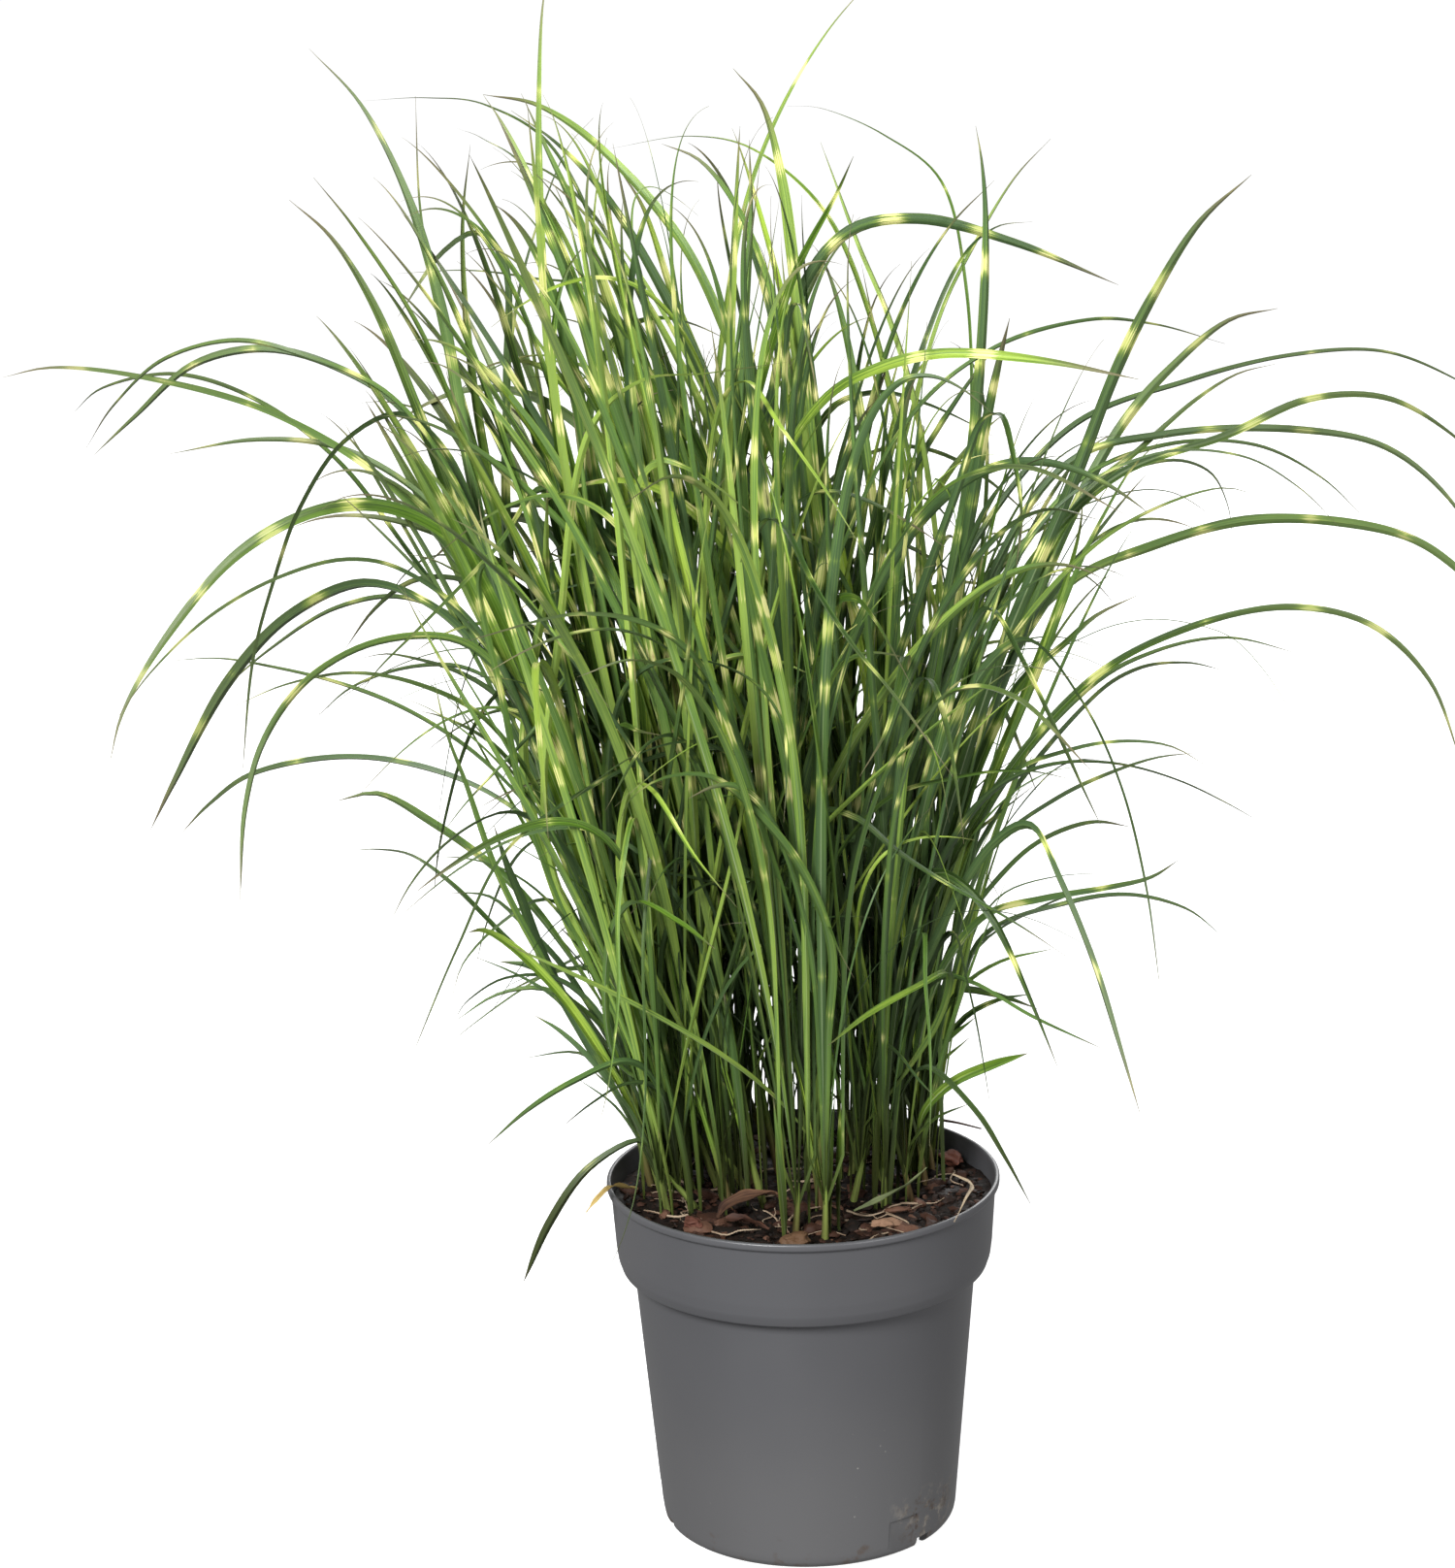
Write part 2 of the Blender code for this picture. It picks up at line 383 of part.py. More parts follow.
def departure(culm, face):
    """Where a leaf comes free of its stem: just above the stem's top, or beside a face of its neck."""
    (neck, _), (top, radius) = culm[2:]
    if face is None:
        return top + (top - neck).normalized() * LEAVES_UP
    return neck.lerp(top, 0.5) + face_normal(face) * (radius + LEAVES_BY) + Vector((0.0, 0.0, LEAVES_UP))


def leaf_of(row, foot, start, bow, rng_roll):
    """A leaf's path and finish from its row, from the place on the stem where it starts."""
    width, tip_back, *points = row
    knots = []
    for i, (across, up) in enumerate(points):
        share = (i + 1) / len(points)
        back = foot[1] + (tip_back * CM - foot[1]) * share ** 1.4
        back += bow * math.sin(math.pi * share * 0.85)
        knots.append(on_sight_line(across * CM, up * CM, back))
    while len(knots) > 2 and knots[0].z < start.z + 0.02:
        knots.pop(0)
    out = max(knots, key=lambda knot: (knot - start).xy.length) - start
    out.z = 0.0
    leaf = {"width": width / 1000, "path": smooth_path([start] + knots), "out": out.normalized()}
    side_on = abs(leaf["out"].x)
    roll = math.radians(30 + 38 * rng_roll[0]) * side_on
    eye_side = 1.0 if leaf["out"].x < 0 else -1.0
    leaf["roll"] = roll * (eye_side if rng_roll[1] < 0.7 else -eye_side)
    leaf["twist"] = math.radians(50) * (rng_roll[2] - 0.5)
    return leaf


def hidden_row(foot, rng, reach_share):
    """A leaf for the front or the back of the clump, as a list of points from its tiller."""
    back = 1.0 if foot[1] > HIDDEN_FROM else -1.0
    azimuth = math.radians(90 * back + rng.uniform(-42, 42))
    reach = 0.11 + 0.13 * reach_share if back > 0 else 0.23 + 0.1 * reach_share
    height = rng.uniform(0.34, 0.52)
    droop = rng.uniform(0.05, 0.22) if back > 0 else rng.uniform(0.0, 0.08)
    out = Vector((math.cos(azimuth), math.sin(azimuth), 0.0))
    start = Vector((foot[0], foot[1], SOIL_TOP))
    return [start + out * reach * s ** 1.8
            + Vector((0.0, 0.0, height * math.sin(math.pi / 2 * s ** 0.85) - droop * s ** 3))
            for s in (0.3, 0.5, 0.68, 0.84, 1.0)], out


def hidden_leaf(start, bow, width, shape, rng_roll):
    """A leaf of the unseen front or back, from its shape and the place on the stem where it starts."""
    points, out = shape
    knots = [start]
    sideways = out.cross(Vector((0.0, 0.0, 1.0)))
    for i, point in enumerate(points):
        share = (i + 1) / len(points)
        knots.append(point + sideways * bow * math.sin(math.pi * share * 0.85))
    return {"width": width / 1000, "path": smooth_path(knots), "out": out,
            "roll": math.radians(50) * (rng_roll[0] - 0.5),
            "twist": math.radians(70) * (rng_roll[2] - 0.5)}


def blade_sections(leaf, count):
    """The blade as triangles' corners: left edge, right edge and keel, then its tip."""
    rows = stations(leaf["path"], count, BEND_WEIGHT)
    sections = []
    for i in range(len(rows) - 1):
        centre, share = rows[i]
        tangent = (rows[i + 1][0] - rows[max(i - 1, 0)][0]).normalized()
        side, keel = leaf_frame(leaf, tangent, share)
        half = leaf["width"] / 2 * width_at(share)
        depth = KEEL_SHARE * half + KEEL_LEAST
        sections.append([centre + side * half, centre - side * half, centre + keel * depth])
    return sections, rows[-1][0]


def blade_count(leaf):
    return min(max(round(turning(leaf["path"]) / TURN_PER_STEP) + 3, 4), 7)


def sections_mesh(sections, tip):
    """The sections joined by triangles and closed at the tip."""
    vertices = [corner for section in sections for corner in section] + [tip]
    faces = []
    for i in range(len(sections) - 1):
        for k in range(3):
            a, b = 3 * i + k, 3 * i + (k + 1) % 3
            faces += [(a, b, b + 3), (a, b + 3, a + 3)]
    last = 3 * (len(sections) - 1)
    faces += [(last + k, last + (k + 1) % 3, len(vertices) - 1) for k in range(3)]
    return vertices, faces


def culm_rings(culm):
    """The stem's five-sided rings, lowest first."""
    rings = []
    for centre, radius in culm:
        ring = []
        for k in range(CULM_SIDES):
            angle = 2 * math.pi * (k + 0.5) / CULM_SIDES - math.pi / 2
            ring.append(centre + Vector((math.cos(angle), math.sin(angle), 0.0)) * radius)
        rings.append(ring)
    return rings


def culm_mesh(culm):
    rings = culm_rings(culm)
    vertices = [corner for ring in rings for corner in ring]
    faces = []
    for i in range(len(rings) - 1):
        for k in range(CULM_SIDES):
            a, b = i * CULM_SIDES + k, i * CULM_SIDES + (k + 1) % CULM_SIDES
            faces.append((a, b, b + CULM_SIDES, a + CULM_SIDES))
    return vertices, faces


def bridge(loop_a, loop_b, vertices):
    """Triangles between two loops of vertex numbers, whatever their counts."""
    def middle(loop):
        return sum((vertices[i] for i in loop), Vector()) / len(loop)

    axis = middle(loop_b) - middle(loop_a)

    def turned(loop):
        centre = middle(loop)
        spin = sum(((vertices[a] - centre).cross(vertices[b] - centre)
                    for a, b in zip(loop, loop[1:] + loop[:1])), Vector())
        return loop if spin.dot(axis) > 0 else loop[::-1]

    first, second = turned(list(loop_a)), turned(list(loop_b))
    shift = middle(second) - middle(first)

    def stretch(start):
        return sum((vertices[second[(start + j) % len(second)]] - shift
                    - vertices[first[round(j * len(first) / len(second))]]).length
                   for j in range(len(second)))

    start = min(range(len(second)), key=stretch)
    second = second[start:] + second[:start]
    faces = []
    i = j = 0
    while i < len(first) or j < len(second):
        a, b = first[i % len(first)], second[j % len(second)]
        if (i + 0.5) / len(first) <= (j + 0.5) / len(second):
            i += 1
            faces.append((a, first[i % len(first)], b))
        else:
            j += 1
            faces.append((a, second[j % len(second)], b))
    return faces


def opened_face(sides, face):
    """The corners of the stem's face that a leaf grows from: its top, or one side of its neck."""
    if face is None:
        return list(range(3 * CULM_SIDES, 4 * CULM_SIDES))
    return list(sides[2 * CULM_SIDES + face])


def leaf_mesh(loop, leaf):
    """A leaf from the stem's opened face to its tip, the face's corners first."""
    sections, tip = blade_sections(leaf, blade_count(leaf))
    added, blade = sections_mesh(sections, tip)
    vertices = list(loop) + added
    base = len(loop)
    faces = [tuple(base + i for i in face) for face in blade]
    return vertices, faces + bridge(list(range(base)), [base, base + 1, base + 2], vertices)


def keep_out():
    """The pot's rim and the mix's surface, a little enlarged, which no leaf may touch."""
    vertices, faces = [], []
    over_soil = SOIL_TOP + 0.0045
    rings = ((0.1165, 0.0), (0.1165, 0.2135), (0.1095, 0.2135), (0.1095, over_soil), (0.0, over_soil))
    for radius, height in rings:
        for k in range(32):
            angle = math.pi * k / 16
            vertices.append(Vector((radius * math.cos(angle), radius * math.sin(angle), height)))
    for i in range(len(rings) - 1):
        for k in range(32):
            a, b = i * 32 + k, i * 32 + (k + 1) % 32
            faces.append((a, b, b + 32, a + 32))
    return vertices, faces


def crosses(first, second):
    """Whether two meshes meet anywhere but at corners they share."""
    (tree_a, points_a, faces_a), (tree_b, points_b, faces_b) = first, second
    for a, b in tree_a.overlap(tree_b):
        corners = {tuple(points_a[i]) for i in faces_a[a]}
        if not corners & {tuple(points_b[i]) for i in faces_b[b]}:
            return True
    return False


def with_tree(vertices, faces):
    return BVHTree.FromPolygons(vertices, faces), vertices, faces


def pick_faces(wishes):
    """Which sides of the neck the second and third leaves grow from, each looking its leaf's way."""
    pairs = [(a, b) for a in range(CULM_SIDES) for b in range(CULM_SIDES) if (a - b) % CULM_SIDES in (2, 3)]
    best = max(pairs, key=lambda pair: sum(face_normal(k).dot(w) for k, w in zip(pair, wishes)))
    return [None, *best]


def grown_leaf(tiller, order, way, rolls):
    """One of a tiller's leaves, with its sideways bow and its tip's shift towards the back."""
    bow, shift = way
    row, shape = tiller["rows"][order], tiller["shapes"][order]
    start = departure(tiller["culm"], tiller["faces"][order])
    if row is None:
        return hidden_leaf(start, bow, shape[1], shape[0], rolls)
    row = (row[0], row[1] + shift) + tuple(row[2:])
    return leaf_of(row, tiller["foot"], start, bow, rolls)


def plan_tillers():
    """Every tiller with its stem and leaves, each leaf bowed until it passes clear of the others."""
    rng = random.Random(SEED)
    tillers = []
    for foot, rows in TILLERS:
        foot = (foot[0] * CM, foot[1] * CM)
        rows, shapes = list(rows), [None] * len(rows)
        while len(rows) < LEAVES_LEAST:
            rows.append(None)
            shapes.append((hidden_row(foot, rng, rng.random()), rng.uniform(7, 11)))
        firsts, wishes = [], []
        for row, shape in zip(rows, shapes):
            if row is None:
                firsts.append(shape[0][0][0])
                wishes.append(shape[0][1])
            else:
                firsts.append(on_sight_line(row[2][0] * CM, row[2][1] * CM, foot[1]))
                wishes.append(Vector((row[-1][0] * CM - foot[0], row[1] * CM - foot[1], 0.0)).normalized())
        culm = culm_of(foot, firsts, soil_height(*foot))
        tillers.append({"foot": foot, "culm": culm, "rows": rows, "shapes": shapes,
                        "faces": pick_faces(wishes[1:]), "leaves": []})
    settle(tillers, rng)
    return tillers


def settle(tillers, rng):
    """Grow every leaf where it touches the fewest others, then regrow those that still touch."""
    ways = [(bow, shift) for shift in (0, 2, -2, 4, -4, 7, -7) for bow in BOWS]
    culms = [with_tree(*culm_mesh(tiller["culm"])) for tiller in tillers]
    barrier = with_tree(*keep_out())
    grown = {}

    def touched(place, mesh):
        count = 5 * crosses(mesh, barrier) + crosses(mesh, mesh)
        count += sum(crosses(mesh, culm) for culm in culms)
        return count + sum(crosses(mesh, other) for key, (_, other) in grown.items() if key != place)

    for turn in range(SETTLE_TURNS):
        stuck = []
        for index, tiller in enumerate(tillers):
            _, corners, sides = culms[index]
            for order, face in enumerate(tiller["faces"]):
                place = (index, order)
                if turn and not touched(place, grown[place][1]):
                    continue
                loop = [corners[i] for i in opened_face(sides, face)]
                best = None
                tries = [[rng.random() for _ in range(3)] for _ in range(1 + 2 * turn)]
                for way, rolls in itertools.product(ways, tries):
                    leaf = grown_leaf(tiller, order, way, rolls)
                    mesh = with_tree(*leaf_mesh(loop, leaf))
                    count = touched(place, mesh)
                    if best is None or count < best[0]:
                        best = (count, leaf, mesh)
                    if not count:
                        break
                grown[place] = best[1:]
                if best[0]:
                    stuck.append((index + 1, order, best[0]))
        if not stuck:
            break
    if stuck:
        print("leaves that still touch:", stuck)
    for (index, _), (leaf, _) in sorted(grown.items(), key=lambda item: item[0]):
        tillers[index]["leaves"].append(leaf)


# --- meshes and materials ---------------------------------------------------------------------------

def material(name, colour, roughness):
    made = bpy.data.materials.new(name)
    made.use_nodes = True
    shader = made.node_tree.nodes["Principled BSDF"]
    shader.inputs["Base Color"].default_value = (*colour, 1.0)
    shader.inputs["Roughness"].default_value = roughness
    shader.inputs["Metallic"].default_value = 0.0
    made.diffuse_color = (*colour, 1.0)
    return made


def add_object(name, vertices, faces, colour, roughness, smooth=True):
    """One closed body of its own material, its faces turned outwards."""
    shape = bmesh.new()
    points = [shape.verts.new(v) for v in vertices]
    for face in faces:
        shape.faces.new([points[i] for i in face])
    bmesh.ops.recalc_face_normals(shape, faces=shape.faces[:])
    if shape.calc_volume(signed=True) < 0:
        bmesh.ops.reverse_faces(shape, faces=shape.faces[:])
    mesh = bpy.data.meshes.new(name)
    shape.to_mesh(mesh)
    shape.free()
    if smooth:
        mesh.shade_smooth()
        mesh.set_sharp_from_angle(angle=math.radians(35))
    mesh.materials.append(material(name + "_finish", colour, roughness))
    made = bpy.data.objects.new(name, mesh)
    bpy.context.scene.collection.objects.link(made)
    return made


def cut(target, cutter):
    cutter.hide_render = True
    cutter.display_type = "WIRE"
    carve = target.modifiers.new(cutter.name, "BOOLEAN")
    carve.operation = "DIFFERENCE"
    carve.solver = "EXACT"
    carve.object = cutter


# --- the pot ------------------------------------------------------------------------------------------

def pot_profile():
    """The pot's turned outline in mm, up its outside, over the lip, down its inside and underneath."""
    outside = [(82.4, 0.0), (85.2, 1.7), (86.8, 4.2), (BODY_FOOT_RADIUS, 7.5),
               (BODY_TOP_RADIUS, COLLAR_BOTTOM), (COLLAR_RADIUS, COLLAR_BOTTOM),
               (COLLAR_RADIUS + 2.0, COLLAR_BOTTOM + 6.0), (110.3, COLLAR_BOTTOM + 13.0),
               (112.6, POT_HEIGHT - LIP - 1.5), (RIM_RADIUS, POT_HEIGHT - LIP),
               (RIM_RADIUS, POT_HEIGHT - 0.8), (RIM_RADIUS - 0.8, POT_HEIGHT)]
    inside = [(RIM_RADIUS - 2.2, POT_HEIGHT), (RIM_RADIUS - 2.9, POT_HEIGHT - 0.9),
              (110.3 - WALL - 0.2, COLLAR_BOTTOM + 13.0),
              (COLLAR_RADIUS - WALL, COLLAR_BOTTOM + 1.5),
              (BODY_TOP_RADIUS - WALL, COLLAR_BOTTOM - 3.0), (BODY_FOOT_RADIUS - WALL, BASE_OVER)]
    underneath = [(80.6, BASE_UNDER), (80.2, 0.0)]
    return outside + inside, underneath


def ring_of(radius, height, sides=POT_SIDES):
    return [Vector((radius * MM * math.sin(2 * math.pi * k / sides),
                    -radius * MM * math.cos(2 * math.pi * k / sides), height * MM))
            for k in range(sides)]


def add_pot():
    upper, under = pot_profile()
    vertices, faces = [], []
    for radius, height in upper + under:
        vertices += ring_of(radius, height)
    over_centre = len(vertices)
    vertices += [Vector((0, 0, BASE_OVER * MM)), Vector((0, 0, BASE_UNDER * MM))]
    count = len(upper)

    def band(a, b):
        for k in range(POT_SIDES):
            n = (k + 1) % POT_SIDES
            faces.append((a * POT_SIDES + k, a * POT_SIDES + n, b * POT_SIDES + n, b * POT_SIDES + k))

    for i in range(count - 1):
        band(i, i + 1)
    band(count, count + 1)
    band(count + 1, 0)
    for k in range(POT_SIDES):
        n = (k + 1) % POT_SIDES
        faces.append(((count - 1) * POT_SIDES + k, (count - 1) * POT_SIDES + n, over_centre))
        faces.append((count * POT_SIDES + n, count * POT_SIDES + k, over_centre + 1))
    return add_object("pot", vertices, faces, (0.118, 0.121, 0.125), 0.45)


def box_at(turn, inner, outer, wide, low, high):
    """A block's corners and faces across the skirt, turned to its place round the pot."""
    angle = math.radians(turn)
    ahead = Vector((math.sin(angle), -math.cos(angle), 0.0))
    across = Vector((math.cos(angle), math.sin(angle), 0.0))
    corners = [ahead * r * MM + across * w * MM + Vector((0, 0, z * MM))
               for z in (low, high) for r, w in ((inner, -wide / 2), (outer, -wide / 2),
                                                 (outer, wide / 2), (inner, wide / 2))]
    faces = [(0, 1, 2, 3), (4, 5, 6, 7), (0, 1, 5, 4), (1, 2, 6, 5), (2, 3, 7, 6), (3, 0, 4, 7)]
    return corners, faces


def cut_drains(pot):
    vertices, faces = [], []
    for turn in DRAIN_AT:
        blocks = (box_at(turn, 70, 95, DRAIN_WIDE, -5, DRAIN_HIGH),
                  panel_block(turn + PANEL_TURN))
        for corners, sides in blocks:
            base = len(vertices)
            vertices += corners
            faces += [tuple(base + i for i in side) for side in sides]
    cut(pot, add_object("drain_cutter", vertices, faces, (0.5, 0.5, 0.5), 0.5, smooth=False))


def panel_block(turn):
    """A block that takes the sunk panel's depth off the skirt, leaning back with the pot's wall."""
    lean = (BODY_TOP_RADIUS - BODY_FOOT_RADIUS) / (COLLAR_BOTTOM - 7.5)
    corners, faces = box_at(turn, BODY_FOOT_RADIUS * math.cos(math.radians(7)) - PANEL_DEEP + 0.35,
                            100, PANEL_WIDE, 0.9, PANEL_HIGH)
    rise = (PANEL_HIGH - 7.5) * lean
    angle = math.radians(turn)
    ahead = Vector((math.sin(angle), -math.cos(angle), 0.0))
    for i in (4, 7):
        corners[i] = corners[i] + ahead * rise * MM
    return corners, faces


# --- the potting mix ------------------------------------------------------------------------------------

def soil_height(x, y):
    """The mix's level: a slight mound with low waves."""
    waves = (1.6 * math.sin(61 * x + 1.3) * math.cos(47 * y) + 1.1 * math.sin(113 * y + 95 * x)
             + 0.8 * math.cos(171 * x - 60 * y + 0.7))
    return SOIL_TOP + waves * MM


def inner_radius(height):
    """The pot's inside radius in mm at a height."""
    upper, _ = pot_profile()
    inside = sorted((z, r) for r, z in upper[12:])
    for (z0, r0), (z1, r1) in zip(inside, inside[1:]):
        if z0 <= height <= z1:
            return r0 + (r1 - r0) * (height - z0) / (z1 - z0)
    return inside[-1][1]


def add_soil(tillers):
    gap = GAP / MM
    flat = math.cos(math.pi / POT_SIDES)
    vertices = [Vector((0, 0, soil_height(0, 0)))]
    edge = inner_radius(SOIL_TOP / MM) * flat - gap - 0.25
    for radius in SOIL_RINGS[1:] + (edge,):
        for k in range(SOIL_SECTORS):
            angle = 2 * math.pi * k / SOIL_SECTORS
            x, y = radius * MM * math.sin(angle), -radius * MM * math.cos(angle)
            z = soil_height(x, y)
            vertices.append(Vector((x, y, z)))
    for height in (COLLAR_BOTTOM + 13.0, COLLAR_BOTTOM + 2.0, COLLAR_BOTTOM - 3.2, BASE_OVER + gap):
        radius = inner_radius(height) * flat - gap - 0.25
        vertices += ring_of(radius, height, SOIL_SECTORS)
    vertices.append(Vector((0, 0, (BASE_OVER + gap) * MM)))
    faces = []
    rings = (len(vertices) - 2) // SOIL_SECTORS
    for k in range(SOIL_SECTORS):
        n = (k + 1) % SOIL_SECTORS
        faces.append((0, 1 + k, 1 + n))
        for ring in range(rings - 1):
            a, b = 1 + ring * SOIL_SECTORS, 1 + (ring + 1) * SOIL_SECTORS
            if ring % 2:
                faces += [(a + k, b + k, b + n), (a + k, b + n, a + n)]
            else:
                faces += [(a + k, b + k, a + n), (a + n, b + k, b + n)]
        last = 1 + (rings - 1) * SOIL_SECTORS
        faces.append((last + k, len(vertices) - 1, last + n))
    soil = add_object("potting_mix", vertices, faces, (0.028, 0.016, 0.011), 0.9)
    points, sides = [], []
    for tiller in tillers:
        add_socket(tiller["culm"], points, sides)
    cut(soil, add_object("socket_cutter", points, sides, (0.5, 0.5, 0.5), 0.5, smooth=False))
    return soil


def add_socket(culm, vertices, faces):
    """The hole that a stem stands in: the stem's own buried prism, a gap wider all round."""
    (low, radius), (high, _) = culm[0], culm[1]
    wide = radius + GAP / math.cos(math.pi / CULM_SIDES)
    step = (high - low).normalized()
    rings = culm_rings([(low - step * GAP, wide), (high, wide)])
    base = len(vertices)
    vertices += rings[0] + rings[1]
    side = range(CULM_SIDES)
    faces.append(tuple(base + k for k in side))
    faces.append(tuple(base + CULM_SIDES + k for k in side))
    for k in side:
        n = (k + 1) % CULM_SIDES
        faces.append((base + k, base + n, base + CULM_SIDES + n, base + CULM_SIDES + k))


# --- the tillers ------------------------------------------------------------------------------------------

def add_tiller(name, tiller, shade):
    """A stem and its leaves as one closed body: each leaf grows out of an opened face of the stem."""
    vertices, sides = culm_mesh(tiller["culm"])
    faces = [tuple(range(CULM_SIDES))]
    for leaf, face in zip(tiller["leaves"], tiller["faces"]):
        loop = opened_face(sides, face)
        added, blade = leaf_mesh([vertices[i] for i in loop], leaf)
        numbers = loop + list(range(len(vertices), len(vertices) + len(added) - len(loop)))
        vertices += added[len(loop):]
        faces += [tuple(numbers[i] for i in corners) for corners in blade]
    opened = {2 * CULM_SIDES + face for face in tiller["faces"][1:]}
    faces += [side for number, side in enumerate(sides) if number not in opened]
    return add_object(name, vertices, faces, shade, 0.5)


# --- loose pieces on the mix --------------------------------------------------------------------------

def strip(points, width, thick):
    """A limp flat strip through points, pointed at both ends, its keel underneath."""
    path = smooth_path(points)
    rows = stations(path, 8, 0.05)
    vertices, faces = [rows[0][0]], []
    for i in range(1, len(rows) - 1):
        centre, share = rows[i]
        along = (rows[i + 1][0] - rows[i - 1][0]).normalized()
        side = along.cross(Vector((0, 0, 1))).normalized()
        half = width / 2 * math.sin(math.pi * min(share + 0.12, 0.94)) ** 0.6
        vertices += [centre + side * half, centre - side * half, centre + along.cross(side) * thick]
    vertices.append(rows[-1][0])
    count = len(rows) - 2
    for k in range(3):
        n = (k + 1) % 3
        faces.append((0, 1 + k, 1 + n))
        for i in range(count - 1):
            a, b = 1 + 3 * i, 4 + 3 * i
            faces += [(a + k, b + k, b + n), (a + k, b + n, a + n)]
        faces.append((1 + 3 * (count - 1) + k, len(vertices) - 1, 1 + 3 * (count - 1) + n))
    return vertices, faces


def add_litter():
    """Dead leaves and bark that lie loose on the mix or hang over the rim: (across, back, up) in cm."""
    for name, width, thick, colour, points in LITTER_STRIPS:
        path = [Vector((x * CM, y * CM, z * CM)) for x, y, z in points]
        vertices, faces = strip(path, width * MM, thick * MM)
        add_object(name, vertices, faces, colour, 0.75)
    for name, (across, back), size, turn, colour in BARK:
        add_chip(name, across * CM, back * CM, size, turn, colour)


def add_chip(name, x, y, size, turn, colour):
    """A flat rounded flake of bark: an eight-sided lens set just clear of the mix under it."""
    long, wide, thick = (value * MM for value in size)
    ground = max(soil_height(x + dx * long / 2, y + dy * wide / 2)
                 for dx in (-1, 0, 1) for dy in (-1, 0, 1))
    lift = ground + CHIP_CLEAR
    vertices = []
    for z, share in ((0.0, 0.62), (0.4 * thick, 1.0), (0.85 * thick, 0.7)):
        for k in range(8):
            angle = 2 * math.pi * k / 8
            ragged = 1.0 + 0.14 * math.sin(3 * angle + turn * 9)
            px = long / 2 * share * ragged * math.cos(angle)
            py = wide / 2 * share * ragged * math.sin(angle)
            vertices.append(Vector((x + px * math.cos(turn) - py * math.sin(turn),
                                    y + px * math.sin(turn) + py * math.cos(turn), lift + z)))
    vertices.append(Vector((x, y, lift + thick)))
    faces = [tuple(range(8))]
    for k in range(8):
        n = (k + 1) % 8
        faces += [(k, n, 8 + n, 8 + k), (8 + k, 8 + n, 16 + n, 16 + k), (16 + k, 16 + n, 24)]
    add_object(name, vertices, faces, colour, 0.85)


def main():
    for item in list(bpy.data.objects):
        bpy.data.objects.remove(item)
    tillers = plan_tillers()
    pot = add_pot()
    cut_drains(pot)
    add_soil(tillers)
    rng = random.Random(SEED + 1)
    for number, tiller in enumerate(tillers):
        warm = rng.random()
        shade = (0.09 + 0.07 * warm, 0.2 + 0.07 * warm, 0.035)
        add_tiller(f"tiller_{number + 1:02d}", tiller, shade)
    add_litter()


main()
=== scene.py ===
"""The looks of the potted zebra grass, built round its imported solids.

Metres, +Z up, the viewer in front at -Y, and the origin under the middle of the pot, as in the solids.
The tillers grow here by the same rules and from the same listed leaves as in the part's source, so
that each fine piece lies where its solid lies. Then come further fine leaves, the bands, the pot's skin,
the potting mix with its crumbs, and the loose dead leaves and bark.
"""

import itertools
import math
import random

import bmesh
import bpy
import numpy as np
from mathutils import Matrix, Vector, noise
from mathutils.bvhtree import BVHTree

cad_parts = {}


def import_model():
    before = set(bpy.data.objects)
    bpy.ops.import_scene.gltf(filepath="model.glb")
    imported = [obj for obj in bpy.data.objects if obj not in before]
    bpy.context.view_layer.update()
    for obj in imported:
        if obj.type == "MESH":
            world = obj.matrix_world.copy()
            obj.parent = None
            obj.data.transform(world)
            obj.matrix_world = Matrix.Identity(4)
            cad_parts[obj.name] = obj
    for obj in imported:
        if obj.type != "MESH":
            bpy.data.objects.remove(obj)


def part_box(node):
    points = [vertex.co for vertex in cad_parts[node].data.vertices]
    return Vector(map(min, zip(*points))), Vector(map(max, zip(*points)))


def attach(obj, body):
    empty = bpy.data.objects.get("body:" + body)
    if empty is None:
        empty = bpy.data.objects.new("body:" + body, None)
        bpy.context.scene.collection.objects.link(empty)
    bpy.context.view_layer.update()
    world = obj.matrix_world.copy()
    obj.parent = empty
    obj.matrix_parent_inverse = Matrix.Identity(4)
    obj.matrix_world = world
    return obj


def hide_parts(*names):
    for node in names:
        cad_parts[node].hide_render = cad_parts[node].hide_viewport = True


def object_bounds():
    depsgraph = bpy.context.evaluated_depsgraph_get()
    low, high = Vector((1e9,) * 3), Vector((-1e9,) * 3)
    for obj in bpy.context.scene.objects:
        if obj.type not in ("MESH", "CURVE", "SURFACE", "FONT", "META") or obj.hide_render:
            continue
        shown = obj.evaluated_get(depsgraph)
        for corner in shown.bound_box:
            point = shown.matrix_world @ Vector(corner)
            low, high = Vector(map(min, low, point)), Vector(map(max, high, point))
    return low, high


CM = 0.01
MM = 0.001
UP = Vector((0.0, 0.0, 1.0))
SEED = 11
EYE = Vector((0.0, -2.2606, 1.0497))  # where the clump's face was measured from, and the camera's place
SOIL_TOP = 0.1985  # the potting mix's mean level

# A tiller's stem, and how its leaves leave it, as in the solids
CULM_SIDES = 5
CULM_RADIUS = 0.0041
CULM_TAPER = (1.0, 1.0, 0.9, 0.85)  # from its buried foot to its top
CULM_SHARE = 0.5  # how much of the way to its leaves' free stretches a stem goes
COLLAR_RISE = 0.012
BURIED = 0.012
NECK = 0.007  # the short stretch under a stem's top whose sides open for leaves
CULM_LEAST = COLLAR_RISE + NECK + 0.003
TOP_BELOW = 0.01  # how far under its leaves' first points a stem ends
LEAVES_BY = 0.006
LEAVES_UP = 0.009

